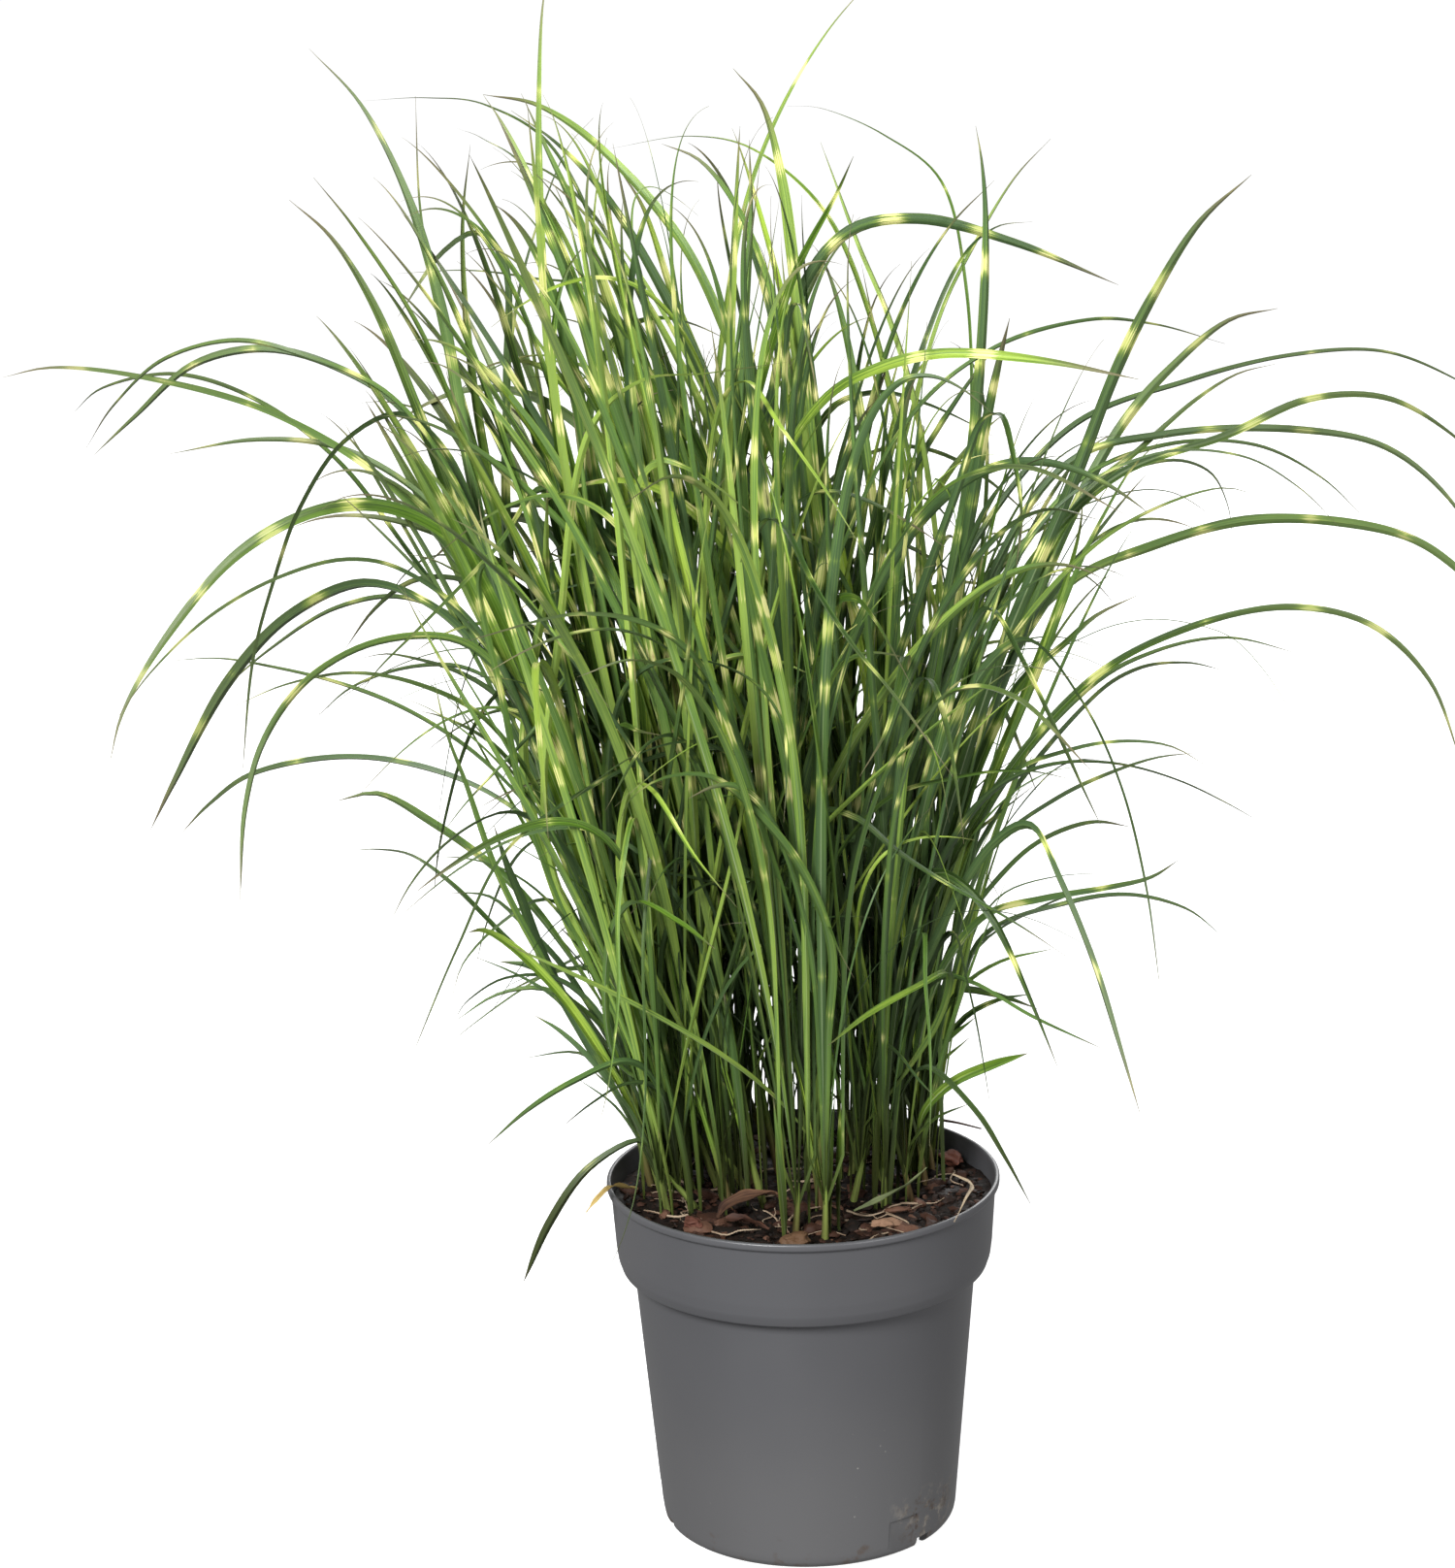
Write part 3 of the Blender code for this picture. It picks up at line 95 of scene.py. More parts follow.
# How a leaf lies
PATH_STEP = 0.006
FIRST_KNOT_OVER = 0.02
DEPTH_CURVE = 1.4  # a leaf goes to its tip's depth slowly at first
BOW_SPAN = 0.85
ROLL_DEGREES = (30, 38)  # the least, and how much more there may be
FACING_CHANCE = 0.7
TWIST_DEGREES = 50

# The solids' plain blades, which decide where a leaf is clear of the others
WIDEST_AT = 0.42
FOOT_WIDTH, WIDENING = 0.7, 0.3
TIP_CURVE = 1.6
KEEL_SHARE = 0.28
KEEL_LEAST = 0.0007
BEND_WEIGHT = 0.12
TURN_PER_STEP = 0.66

# How the leaves settle: the bows and the shifts of the tip towards the back, in cm, that are tried
SETTLE_TURNS = 6
BOWS = [side * step * 0.008 for step in range(12) for side in (1, -1)]
SHIFTS = (0, 2, -2, 4, -4, 7, -7)
GUARD_SIDES = 32
GUARD_RINGS = ((0.1165, 0.0), (0.1165, 0.2135), (0.1095, 0.2135), (0.1095, SOIL_TOP + 0.0045),
               (0.0, SOIL_TOP + 0.0045))  # the rim and the mix, a little enlarged: (radius, height)
GUARD_WEIGHT = 5

# Leaves of the unseen front and back, for tillers that show fewer than three
LEAVES_LEAST = 3
HIDDEN_FROM = 0.03  # tillers behind this line carry theirs at the back
HIDDEN_SPREAD = 42  # degrees to either side
HIDDEN_HEIGHT = (0.34, 0.52)
HIDDEN_WIDTH = (7, 11)
HIDDEN_BACK = ((0.11, 0.13), (0.05, 0.22))  # least reach and what may be added, and the tip's droop
HIDDEN_FRONT = ((0.23, 0.1), (0.0, 0.08))
HIDDEN_KNOTS = (0.3, 0.5, 0.68, 0.84, 1.0)
HIDDEN_TWIST = 70


# Every tiller: where its foot stands (across, back), then its leaves. A leaf is its width in mm, how far
# back its tip lies in cm (minus is towards the viewer), and the points it passes, as (across, up) in cm
# on the upright plane through the pot's axis, from its lowest free stretch to its tip.
TILLERS = (
    ((-8.9, 4.0), (
        (11, -4, (-14.5, 50), (-18.3, 58.8), (-22.5, 61.3), (-26.4, 61.2), (-31, 58.9),
         (-35.5, 54), (-38.2, 49.7), (-39.1, 46.8)),
        (10, 9, (-13.5, 45), (-17, 52), (-20.3, 55.6), (-24, 57), (-28.4, 55.2), (-32.1, 51.4),
         (-35.5, 45.6), (-37, 42.8)),
        (7, 2, (-12, 32), (-15, 37.5), (-17.4, 40.2), (-20.8, 42.9), (-23.9, 44.7), (-26.2, 44.3)))),
    ((-9.0, 2.1), (
        (10, -12, (-17, 58), (-19.3, 64.5), (-21.8, 66.6), (-24.9, 65.1), (-27.6, 61.3),
         (-29.1, 57.6), (-30.6, 52.8), (-31.6, 45.6)),
        (9, -7, (-13, 42), (-15.5, 50), (-18.7, 53.5), (-23.4, 53.6), (-27.5, 51.5), (-30.2, 48),
         (-31.5, 44), (-32.1, 38.4)),
        (4, 12, (-13, 31), (-17, 36.1), (-19.8, 39.2), (-22.1, 41), (-24.1, 41.4), (-25.8, 41.3)))),
    ((-8.0, 5.9), (
        (7, 6, (-16, 53), (-21.5, 61.7), (-28.3, 66.6), (-36, 69), (-41, 69.6), (-43.7, 69.1)),
        (4.5, 16, (-12.5, 40), (-17, 44.3), (-21.5, 46.3), (-26, 46.9), (-31, 46), (-33.5, 44.3),
         (-35.3, 42.5)),
        (5, 10, (-12, 38), (-15, 44.5), (-17.2, 47.5), (-19.9, 49.1), (-21.3, 49.5)))),
    ((-8.3, 0.4), (
        (6, -9, (-17, 53), (-21.7, 57.6), (-25, 58.4), (-29, 57.4), (-33, 55.2), (-36.5, 52),
         (-38.6, 49.3)),
        (4.5, -3, (-13.5, 42), (-17.5, 48.9), (-21.1, 51), (-24.9, 51.8), (-28.8, 51.2), (-32, 49.9)),
        (6, -6, (-11, 26), (-14, 33), (-17.1, 39.6), (-18.8, 45.2), (-19.8, 48.3), (-20.4, 51.6)))),
    ((-6.6, 7.4), (
        (6, 14, (-17, 58), (-21.4, 66.7), (-25.1, 69.3), (-29, 70.4), (-33, 69.6), (-36.5, 66.7),
         (-38.9, 64.6)),
        (4.5, 22, (-16, 50), (-21.6, 58.9), (-25.2, 64), (-29.5, 67.5), (-34, 69.1), (-38.2, 68.4),
         (-40, 66.9)),
        (3, 18, (-14, 44), (-16, 50), (-18.4, 51.9), (-21.5, 52.1), (-25, 51), (-27.2, 49.2)))),
    ((-6.9, 4.8), (
        (9, 9, (-11.5, 36), (-15.8, 52.8), (-18.4, 60), (-20.7, 67), (-22.9, 72.9), (-25, 76.5),
         (-27.2, 78.6)),
        (5, 9, (-16, 54), (-19, 60), (-21.5, 62.7), (-25.3, 64.8), (-29.7, 65.3), (-34.6, 64.6)),
        (3, 3, (-10, 28), (-12.5, 36.5), (-14.5, 38.2), (-17, 36.9), (-19.4, 34.4), (-20.1, 32.4)))),
    ((-6.2, -1.4), (
        (8, -6, (-8.8, 22), (-11.3, 28.4), (-14, 32.7), (-16.5, 35.4), (-18.1, 36.4), (-19, 36.3)),
        (5, -12, (-9.5, 24), (-11.5, 31), (-14, 33.4), (-17, 33.5), (-19.2, 32.2), (-20, 31)),
        (6, -14, (-7.5, 23), (-8.5, 27), (-10.2, 28.3), (-13.3, 27.1), (-16, 25.4), (-18.5, 23.2)))),
    ((-7.1, 2.9), (
        (10, 8, (-12.5, 38), (-16, 53), (-17.8, 63), (-19, 72), (-20.6, 78.5), (-23, 83.7),
         (-25.7, 86.8)),
        (3.5, 19, (-17.5, 60), (-22, 67.5), (-26.9, 70), (-30.4, 70.9), (-34.5, 70), (-37.5, 67.5),
         (-39.3, 65)),
        (4, -4, (-10, 25), (-12, 31), (-14.8, 32.8), (-17.5, 32.5), (-19.9, 31)))),
    ((-6.4, 0.6), (
        (5, -7, (-12, 40), (-15.2, 54), (-17.8, 64.2), (-20.3, 71.3), (-23.7, 77), (-25.8, 79.8)),
        (7, -16, (-15, 42), (-16.5, 50), (-17.6, 57), (-16.8, 58), (-15, 56), (-12.5, 52.5),
         (-10.5, 49.5)),
        (4.5, 2, (-9.5, 22.5), (-12, 29), (-14, 32.1), (-16.5, 33.8), (-18.9, 34.9)))),
    ((-7.9, -2.6), (
        (8, -5, (-8.1, 22), (-9.7, 23.4), (-12.6, 21.7), (-15, 18.3), (-16.6, 14.7)),
        (5, -3, (-9.4, 22), (-11.5, 27.5), (-13.9, 30.2), (-15.4, 31.2)),
        (6, -13, (-8.4, 30), (-9.3, 43), (-10.3, 38), (-10.5, 32), (-11.4, 26), (-12, 24)))),
    ((-5.1, 6.1), (
        (9, 8, (-11, 35), (-15.3, 52), (-15.9, 60), (-15.6, 68), (-15.5, 75), (-16.9, 76.6),
         (-18.8, 75.6), (-21.5, 72)),
        (4.5, 12, (-12, 42), (-16, 58), (-18, 67), (-19.3, 72.6), (-20, 77.9), (-20, 84.1)),
        (3.5, 17, (-15, 48), (-18, 54), (-21.8, 56.1), (-25.7, 55.6), (-29.7, 53.2), (-32.7, 50.7)))),
    ((-4.6, 8.5), (
        (6, 15, (-12.5, 44), (-16.3, 60), (-17.6, 70), (-17.7, 77), (-17.1, 81.4)),
        (3, 30, (-6, 55), (-9, 72), (-12.5, 81), (-16.1, 83.5), (-19.4, 84), (-22.9, 83.9)))),
    ((-5.1, 2.3), (
        (7, 5, (-9, 36), (-11.5, 55), (-12.9, 66), (-13.4, 76), (-13.2, 84.8), (-12.8, 89.2),
         (-12.3, 91)),
        (8, -12, (-13, 36), (-15.4, 46), (-14.8, 51.6), (-13.9, 56), (-13.7, 59.5), (-13.5, 62.8)),
        (10, -19, (-9.5, 32), (-12, 44), (-13.8, 51.5), (-14.5, 52.2), (-14.6, 50), (-14.4, 46),
         (-14.2, 41.8)))),
    ((-4.2, -1.7), (
        (8, -9, (-8.5, 40), (-11.5, 56), (-12.8, 66), (-13.3, 72), (-13.6, 79), (-13.9, 83.5)),
        (7, -20, (-9, 28), (-10, 38), (-9.5, 44.6), (-8.2, 44.6), (-5.9, 40.7), (-3.5, 37.5)),
        (4, -15, (-7, 36), (-8, 42), (-8.9, 36), (-9.1, 26), (-10, 19.5), (-11.5, 15.6),
         (-12.2, 15.7)))),
    ((-4.9, 4.4), (
        (11, 10, (-4, 38), (-8, 56), (-9.8, 64), (-11.3, 71.7), (-13.2, 77.8), (-15, 82),
         (-16.3, 84.1)),
        (8, -9, (-5, 38), (-8, 53), (-10.5, 58), (-13.8, 62.2), (-16.5, 58.9), (-21, 54.4),
         (-23.5, 52), (-24.8, 50.3)),
        (4, 21, (-7, 50), (-10.5, 70), (-14, 79.8), (-16.4, 81.7), (-17.8, 82.3)))),
    ((-3.2, 0.3), (
        (7, -14, (-14, 40), (-13, 55), (-11, 65.5), (-8, 68.2), (-4.5, 68.5), (0, 69)),
        (6.5, -22, (-9.5, 34), (-10.6, 46), (-9.2, 51), (-6.2, 52.3), (-2.6, 51.1), (-0.7, 48.5),
         (-0.5, 45), (-0.7, 42.5)),
        (6, -18, (-10.5, 28), (-11, 35), (-9.5, 38), (-7, 36.8), (-4.8, 35)))),
    ((-3.4, 6.3), (
        (9, 9, (-3, 40), (-6, 56), (-8, 65), (-9.7, 72.4), (-11.6, 78), (-13.1, 81.5), (-14.2, 84.1)),
        (4, 25, (-5, 50), (-7.5, 68), (-10.5, 73.1), (-14, 74), (-17.5, 74.5), (-21.5, 74.4)))),
    ((-3.1, 2.3), (
        (7, 3, (-3, 40), (-2.8, 56), (-2.6, 66), (-2.2, 72.2), (-1.8, 77.2), (-1.8, 81.3)),
        (4, 13, (-7, 45), (-9.2, 62), (-10.6, 72), (-10.5, 76.7), (-10.1, 79.6), (-9.6, 81.6)))),
    ((-2.2, 9.6), (
        (4, 18, (-15, 45), (-16, 60), (-15, 72), (-13.3, 77.7), (-11.7, 81.2), (-10.3, 82.7)),)),
    ((-2.3, -1.9), (
        (9, -25, (-7, 38), (-4.5, 52), (-1.5, 60), (-0.3, 59.6), (1.3, 56.3), (3.3, 53), (6, 49.5),
         (9, 45)),
        (7, -5, (-7, 38), (-4.5, 55), (-2, 66), (0.6, 74), (2.9, 78.2), (3.9, 80.3)))),
    ((-1.5, 4.2), (
        (5, 16, (-6, 40), (-5, 58), (-3.6, 70), (-2, 78.1), (0, 83), (2.6, 87.1), (5.5, 90.3)),
        (6, 8, (-2, 42), (-5, 60), (-8.6, 71.7), (-9.4, 75.2), (-10.2, 77.7)))),
    ((-1.2, 0.3), (
        (12, -26, (-2, 40), (-1.2, 55), (-0.3, 66), (0.2, 71.5), (0.8, 72.2), (1.2, 70), (1.8, 66.3)),
        (8, -8, (-1, 40), (-1.8, 54), (-0.5, 63), (2.2, 67), (4.9, 68.5), (8.5, 69.3), (14.1, 68.8),
         (19.6, 67.6)),
        (6.5, -23, (-5, 40), (-5, 55), (-3.8, 66.5), (-2.2, 68), (-0.4, 65.4), (2.2, 61.5),
         (4.2, 58)))),
    ((-0.5, -6.2), (
        (10, -16, (-0.1, 22), (0.1, 30), (0.2, 38), (-0.5, 46), (-2, 54), (-3, 60)),)),
    ((1.2, -6.7), (
        (13, -15, (0.9, 22), (1.6, 29), (1.9, 35), (0.4, 39.5), (-2, 42.9), (-4.8, 45.3),
         (-7.5, 45.3), (-9.5, 44), (-10.3, 42)),)),
    ((-0.5, 7.4), (
        (8, 11, (-3, 45), (-2, 60), (0.8, 72.8), (3.6, 76.2), (7.4, 76.8), (12.6, 75.4), (18.4, 72.9)),)),
    ((0.8, 2.4), (
        (9, 7, (3, 40), (-0.5, 56), (-3.5, 65.5), (-6.4, 72.4), (-9.8, 78.5), (-12.4, 81.4),
         (-14.8, 83.2)),
        (7, -21, (4, 33), (1.5, 43.5), (-2.7, 46.6), (-7.2, 46.7), (-11.9, 44.7), (-16.7, 41.1),
         (-19.7, 35.4), (-22.7, 28.6)))),
    ((1.3, 5.4), (
        (9, 4, (1.5, 40), (1.5, 58), (1, 68), (0.4, 75.2), (-0.1, 79.4), (-1.1, 83.3), (-2.6, 85.2)),
        (6, 18, (3, 45), (1, 58), (-2.5, 68.5), (-5.5, 75.6), (-9.9, 81), (-13.2, 83.4),
         (-16.3, 84.1)))),
    ((0.2, 9.4), (
        (10, 13, (3, 40), (2, 58), (0.3, 68), (-1, 73.8), (-2.7, 77.9), (-4.6, 80.3), (-6.6, 81.2)),)),
    ((1.0, -1.9), (
        (13, -12, (0, 30), (1, 42), (1.6, 50), (2.3, 57), (2.5, 60)),
        (5, -17, (-1, 30), (1, 38), (5, 43.6), (8.9, 44.9), (12.8, 45.3), (16.2, 44.6)))),
    ((2.9, -1.8), (
        (9, -19, (5, 32), (8, 46), (10.3, 54), (11.3, 54.8), (12.9, 52), (15.2, 47), (16.5, 44),
         (17.5, 41.8)),
        (6, -22, (5.5, 24), (7.8, 30), (8.7, 33.3), (7, 32.6), (4, 30.9), (1.6, 29)),
        (6, -12, (3, 24), (5.5, 29), (8, 33), (10, 32.7), (13.4, 30.6), (17.5, 28.5)))),
    ((2.9, 3.6), (
        (8, 2, (5, 35), (8, 52), (10, 62), (10.9, 71), (11.1, 77), (10.9, 80), (10.6, 81.8)),
        (2.5, 27, (9, 50), (10.2, 64), (10, 73), (8.7, 78.8), (5.6, 81.4), (2.3, 82.9), (0.3, 83.1)),
        (6, 20, (2, 42), (-1, 57), (-4, 67), (-6.2, 72.9), (-7.7, 77.7), (-9, 79.9)))),
    ((2.6, 7.2), (
        (6, 8, (0, 38), (2, 54), (4.5, 66), (6.7, 72.3), (9.1, 76.3), (11.6, 78.8)),
        (4, 24, (9, 45), (7, 60), (4.7, 71.4), (2.2, 77.4), (-1.6, 80.8), (-5, 81.6), (-9.5, 81)))),
    ((4.7, -1.9), (
        (8, -18, (4.7, 30), (5.6, 42), (6.8, 50.2), (7.8, 50.7), (8.6, 48.3), (9.2, 44.6), (9.6, 41)),
        (8, -11, (5, 26), (6, 34), (7.8, 39.3), (9.5, 38.6), (11.3, 36.3), (13.5, 31.2), (15, 27.2)),
        (5, -9, (5.4, 22.5), (5.8, 26), (7.3, 27.6), (10.1, 24.9), (11.8, 22), (13.3, 19)))),
    ((4.7, 1.8), (
        (8.5, -15, (2, 35), (4.5, 47), (7.4, 56.1), (9.4, 61.6), (10.8, 65.5), (11.9, 65.8),
         (12.6, 63.2), (13, 60), (12.7, 57.2)),
        (4.5, 14, (5, 38), (10, 53), (16, 61.8), (21, 63.9), (26, 63.8), (29.7, 61.9), (32.3, 59.4)),
        (3.5, 6, (5.5, 38), (9.5, 51), (15, 60.5), (20.5, 63.4), (25.2, 63.2), (28.4, 61.4),
         (31, 58.8)))),
    ((4.6, 5.4), (
        (13, -3, (3, 32), (6.5, 44), (8.8, 53), (9.9, 59.1), (10.8, 64.1), (11.7, 68.4), (12.4, 71.2)),
        (3.5, 17, (-2, 38), (2, 56), (7, 66), (11.6, 69.6), (16.7, 71), (20.3, 70.7), (24.3, 69.5)),
        (5, 12, (8.5, 40), (8.5, 55), (7.2, 66), (5.7, 71.4), (4.1, 75.4), (2.7, 79.4), (2.1, 81.1)))),
    ((4.3, 8.9), (
        (4, 19, (2, 40), (4.5, 56), (8.5, 71.3), (10.3, 75), (12.7, 78.9), (14.7, 81)),
        (5, 23, (5, 40), (9, 56), (15.6, 64.9), (22.3, 67.5), (28, 68.8), (33, 68.9), (37, 67.3),
         (40, 65.2)))),
    ((6.3, -0.7), (
        (9, -14, (4.5, 28), (7, 42), (11, 51.5), (13.5, 52.9), (16.5, 49.2), (18.6, 44.4),
         (20, 38.6), (20.9, 31.7)),
        (9, -17, (5, 26), (8, 35.5), (11.3, 41), (13.5, 42), (15.1, 38.8), (17, 33.9), (18.5, 28.8),
         (19.7, 24.5)),
        (8, -4, (6.3, 22.5), (7.2, 25), (8.8, 26.6), (11, 27.6), (13.2, 28.3)))),
    ((6.2, 3.4), (
        (11, -4, (6, 32), (11, 50), (16, 62.2), (18.4, 68.4), (20.4, 72.4), (22.9, 76.3), (25.7, 78.8)),
        (6, 4, (5, 36), (10, 54), (15.6, 63), (21, 64.5), (28.4, 64.6), (33.3, 63.5), (36.9, 60.5),
         (39.5, 56)),
        (6, -6, (5, 34), (10, 49), (15.6, 56.9), (19.6, 59.9), (24.2, 61.4), (26.3, 60.9)))),
    ((5.6, 6.4), (
        (8, 13, (6, 32), (11, 48), (16, 60.4), (18.7, 65.2), (21.4, 68.3), (24.5, 70.8), (27.2, 71.4)),
        (6, 10, (6, 38), (12, 55), (18, 62), (24.5, 64.4), (29, 66.3), (33.2, 66.3), (36.9, 64.2),
         (41, 60)),
        (5, 16, (1, 40), (4, 57), (7.5, 69.5), (9.8, 74.6), (11.6, 76.2), (13.7, 76.5)))),
    ((7.2, 1.4), (
        (11, -7, (6.5, 27), (8, 33), (10.9, 36.8), (14.2, 37.7), (18.1, 38.3), (20.3, 38.8),
         (21.9, 39.8)),
        (6.5, -8, (5, 30), (10, 42), (16.5, 50.2), (21.5, 53.1), (27.8, 54.5), (32.6, 53.4),
         (36, 50.1), (38, 45)),
        (4, 5, (7, 25), (8, 30), (9.4, 32.4), (11.6, 33.9), (14.6, 34.6)))),
    ((7.5, 4.7), (
        (9, 1, (4, 34), (9, 48), (15.6, 56.1), (20.1, 58.1), (25.5, 59.5), (30.9, 59.3), (35, 58.2),
         (38, 56), (43.7, 50)),
        (7, 8, (6, 34), (11, 50), (16.3, 60.8), (19.6, 63.7), (22.7, 66.4), (25, 67.8), (27.1, 68.3)),
        (5, 3, (7.4, 25), (8.2, 28.5), (9.6, 30.6), (11.5, 31.6), (13.4, 31.9)))),
    ((7.3, 6.6), (
        (3.5, 20, (7.6, 36), (11.5, 52), (16.7, 61.2), (21, 63), (23.4, 62.4), (24.5, 60.5), (24.9, 57.7)),
        (4.5, 15, (6, 30), (10.5, 42), (16.7, 50), (20.5, 52.1), (24.6, 52.8), (28.9, 51.7)))),
    ((7.7, 3.0), (
        (5, 1, (7, 26), (9, 35), (11.7, 44.6), (15.8, 46.5), (19, 46.9), (21.5, 46.5), (23.5, 45.3)),
        (5, -5, (7.4, 24), (9, 31), (10.7, 35.5), (15.6, 37.4), (19, 37.8), (22.3, 36.9), (24.5, 35.1)),
        (5, 8, (7.6, 24), (9, 35), (11.2, 40.7), (14.9, 43.6), (18.1, 45.1), (20.7, 45.9),
         (22.8, 46.1)))),
    ((5.6, 8.1), (
        (4, 25, (6, 28), (10.5, 41), (16.9, 49.4), (19.5, 51.1), (22.2, 51.4), (24.4, 50.9)),)),
)


# --- how a tiller and its leaves grow ---------------------------------------------------------------

def heading(angle):
    """The level direction at an angle from +X, in radians."""
    return Vector((math.cos(angle), math.sin(angle), 0.0))


def wall_faces(rings, sides):
    """Quads between rings of corners."""
    return [(i * sides + k, i * sides + (k + 1) % sides,
             (i + 1) * sides + (k + 1) % sides, (i + 1) * sides + k)
            for i in range(rings - 1) for k in range(sides)]


def on_sight_line(across, up, back):
    """The point that lies back metres behind the pot's axis and covers (across, up) from the eye."""
    share = (back - EYE.y) / -EYE.y
    return EYE + (Vector((across, 0.0, up)) - EYE) * share


def smooth_path(knots):
    """Points a few millimetres apart along a centripetal Catmull-Rom curve through the knots."""
    ends = [knots[0] * 2 - knots[1]] + list(knots) + [knots[-1] * 2 - knots[-2]]
    path = [knots[0].copy()]
    for i in range(1, len(ends) - 2):
        p = ends[i - 1:i + 3]
        t = [0.0]
        for k in range(3):
            t.append(t[-1] + max((p[k + 1] - p[k]).length, 1e-6) ** 0.5)
        count = max(3, int((p[2] - p[1]).length / PATH_STEP))
        for j in range(1, count + 1):
            at = t[1] + (t[2] - t[1]) * j / count
            a = [p[k].lerp(p[k + 1], (at - t[k]) / (t[k + 1] - t[k])) for k in range(3)]
            b = [a[k].lerp(a[k + 1], (at - t[k]) / (t[k + 2] - t[k])) for k in range(2)]
            path.append(b[0].lerp(b[1], (at - t[1]) / (t[2] - t[1])))
    return path


def stations(path, count):
    """count + 1 points of the path with their share of its length, closer together where it bends."""
    lengths = [0.0]
    weights = [0.0]
    for i in range(1, len(path)):
        step = path[i] - path[i - 1]
        turn = 0.0
        if i + 1 < len(path):
            turn = step.angle(path[i + 1] - path[i], 0.0)
        lengths.append(lengths[-1] + step.length)
        weights.append(weights[-1] + step.length + BEND_WEIGHT * turn)
    found = []
    i = 0
    for k in range(count + 1):
        want = weights[-1] * k / count
        while i < len(path) - 2 and weights[i + 1] < want:
            i += 1
        part = (want - weights[i]) / max(weights[i + 1] - weights[i], 1e-9)
        part = min(max(part, 0.0), 1.0)
        length = lengths[i] + (lengths[i + 1] - lengths[i]) * part
        found.append((path[i].lerp(path[i + 1], part), length / lengths[-1]))
    return found


def turning(path):
    """How far the path turns from end to end, in radians."""
    steps = [b - a for a, b in zip(path[:-3:3], path[3::3])]
    return sum(a.angle(b, 0.0) for a, b in zip(steps, steps[1:]))


def width_at(share):
    """A blade's width along its length, as a share of its widest: narrow foot, long fine tip."""
    if share < WIDEST_AT:
        return FOOT_WIDTH + WIDENING * math.sin(math.pi / 2 * share / WIDEST_AT)
    return 1.0 - ((share - WIDEST_AT) / (1.0 - WIDEST_AT)) ** TIP_CURVE


def leaf_frame(leaf, tangent, share):
    """The blade's sideways and keel directions at a share of its length, twisted by its roll."""
    side = leaf["out"].cross(UP)
    side = (side - tangent * side.dot(tangent)).normalized()
    keel = tangent.cross(side)
    roll = leaf["roll"] + leaf["twist"] * share
    return (side * math.cos(roll) + keel * math.sin(roll),
            keel * math.cos(roll) - side * math.sin(roll))


def culm_of(foot, firsts, soil):
    """The stem's rings from its buried foot to its top: centre and radius, leaning to its leaves."""
    ground = Vector((foot[0], foot[1], soil))
    aim = (firsts[0] * 2 + firsts[1]) / 3
    highest = min(first.z for first in firsts) - LEAVES_UP - TOP_BELOW
    rise = max(min((aim.z - soil) * CULM_SHARE, highest - soil), CULM_LEAST)
    top = ground.lerp(aim, rise / (aim.z - soil))
    lean = (top - ground) / max(top.z - ground.z, 1e-3)
    rings = [ground - lean * BURIED, ground + lean * COLLAR_RISE, top - lean * NECK, top]
    return [(ring, CULM_RADIUS * share) for ring, share in zip(rings, CULM_TAPER)]


def face_normal(k):
    """The way that the stem's side face k looks."""
    return heading(2 * math.pi * (k + 1) / CULM_SIDES - math.pi / 2)


def departure(culm, face):
    """Where a leaf comes free of its stem: just above the stem's top, or beside a face of its neck."""
    (neck, _), (top, radius) = culm[2:]
    if face is None:
        return top + (top - neck).normalized() * LEAVES_UP
    return neck.lerp(top, 0.5) + face_normal(face) * (radius + LEAVES_BY) + UP * LEAVES_UP


def bowed(share):
    """How much of its bow a leaf has at a share of its way."""
    return math.sin(math.pi * share * BOW_SPAN)


def leaf_of(row, foot, start, bow, rolls):
    """A leaf's path and finish from its row, from the place on the stem where it starts."""
    width, tip_back, *points = row
    knots = []
    for i, (across, up) in enumerate(points):
        share = (i + 1) / len(points)
        back = foot[1] + (tip_back * CM - foot[1]) * share ** DEPTH_CURVE
        back += bow * bowed(share)
        knots.append(on_sight_line(across * CM, up * CM, back))
    while len(knots) > 2 and knots[0].z < start.z + FIRST_KNOT_OVER:
        knots.pop(0)
    out = max(knots, key=lambda knot: (knot - start).xy.length) - start
    out.z = 0.0
    out.normalize()
    least, more = ROLL_DEGREES
    roll = math.radians(least + more * rolls[0]) * abs(out.x)
    eye_side = 1.0 if out.x < 0 else -1.0
    return {"width": width / 1000, "path": smooth_path([start] + knots), "out": out,
            "roll": roll * (eye_side if rolls[1] < FACING_CHANCE else -eye_side),
            "twist": math.radians(TWIST_DEGREES) * (rolls[2] - 0.5)}


def hidden_row(foot, rng, reach_share):
    """A leaf for the front or the back of the clump: the points it passes, and the way it leans."""
    back = foot[1] > HIDDEN_FROM
    azimuth = (90 if back else -90) + rng.uniform(-HIDDEN_SPREAD, HIDDEN_SPREAD)
    (least, more), droops = HIDDEN_BACK if back else HIDDEN_FRONT
    reach = least + more * reach_share
    height = rng.uniform(*HIDDEN_HEIGHT)
    droop = rng.uniform(*droops)
    out = heading(math.radians(azimuth))
    start = Vector((foot[0], foot[1], SOIL_TOP))
    return [start + out * reach * s ** 1.8
            + UP * (height * math.sin(math.pi / 2 * s ** 0.85) - droop * s ** 3)
            for s in HIDDEN_KNOTS], out


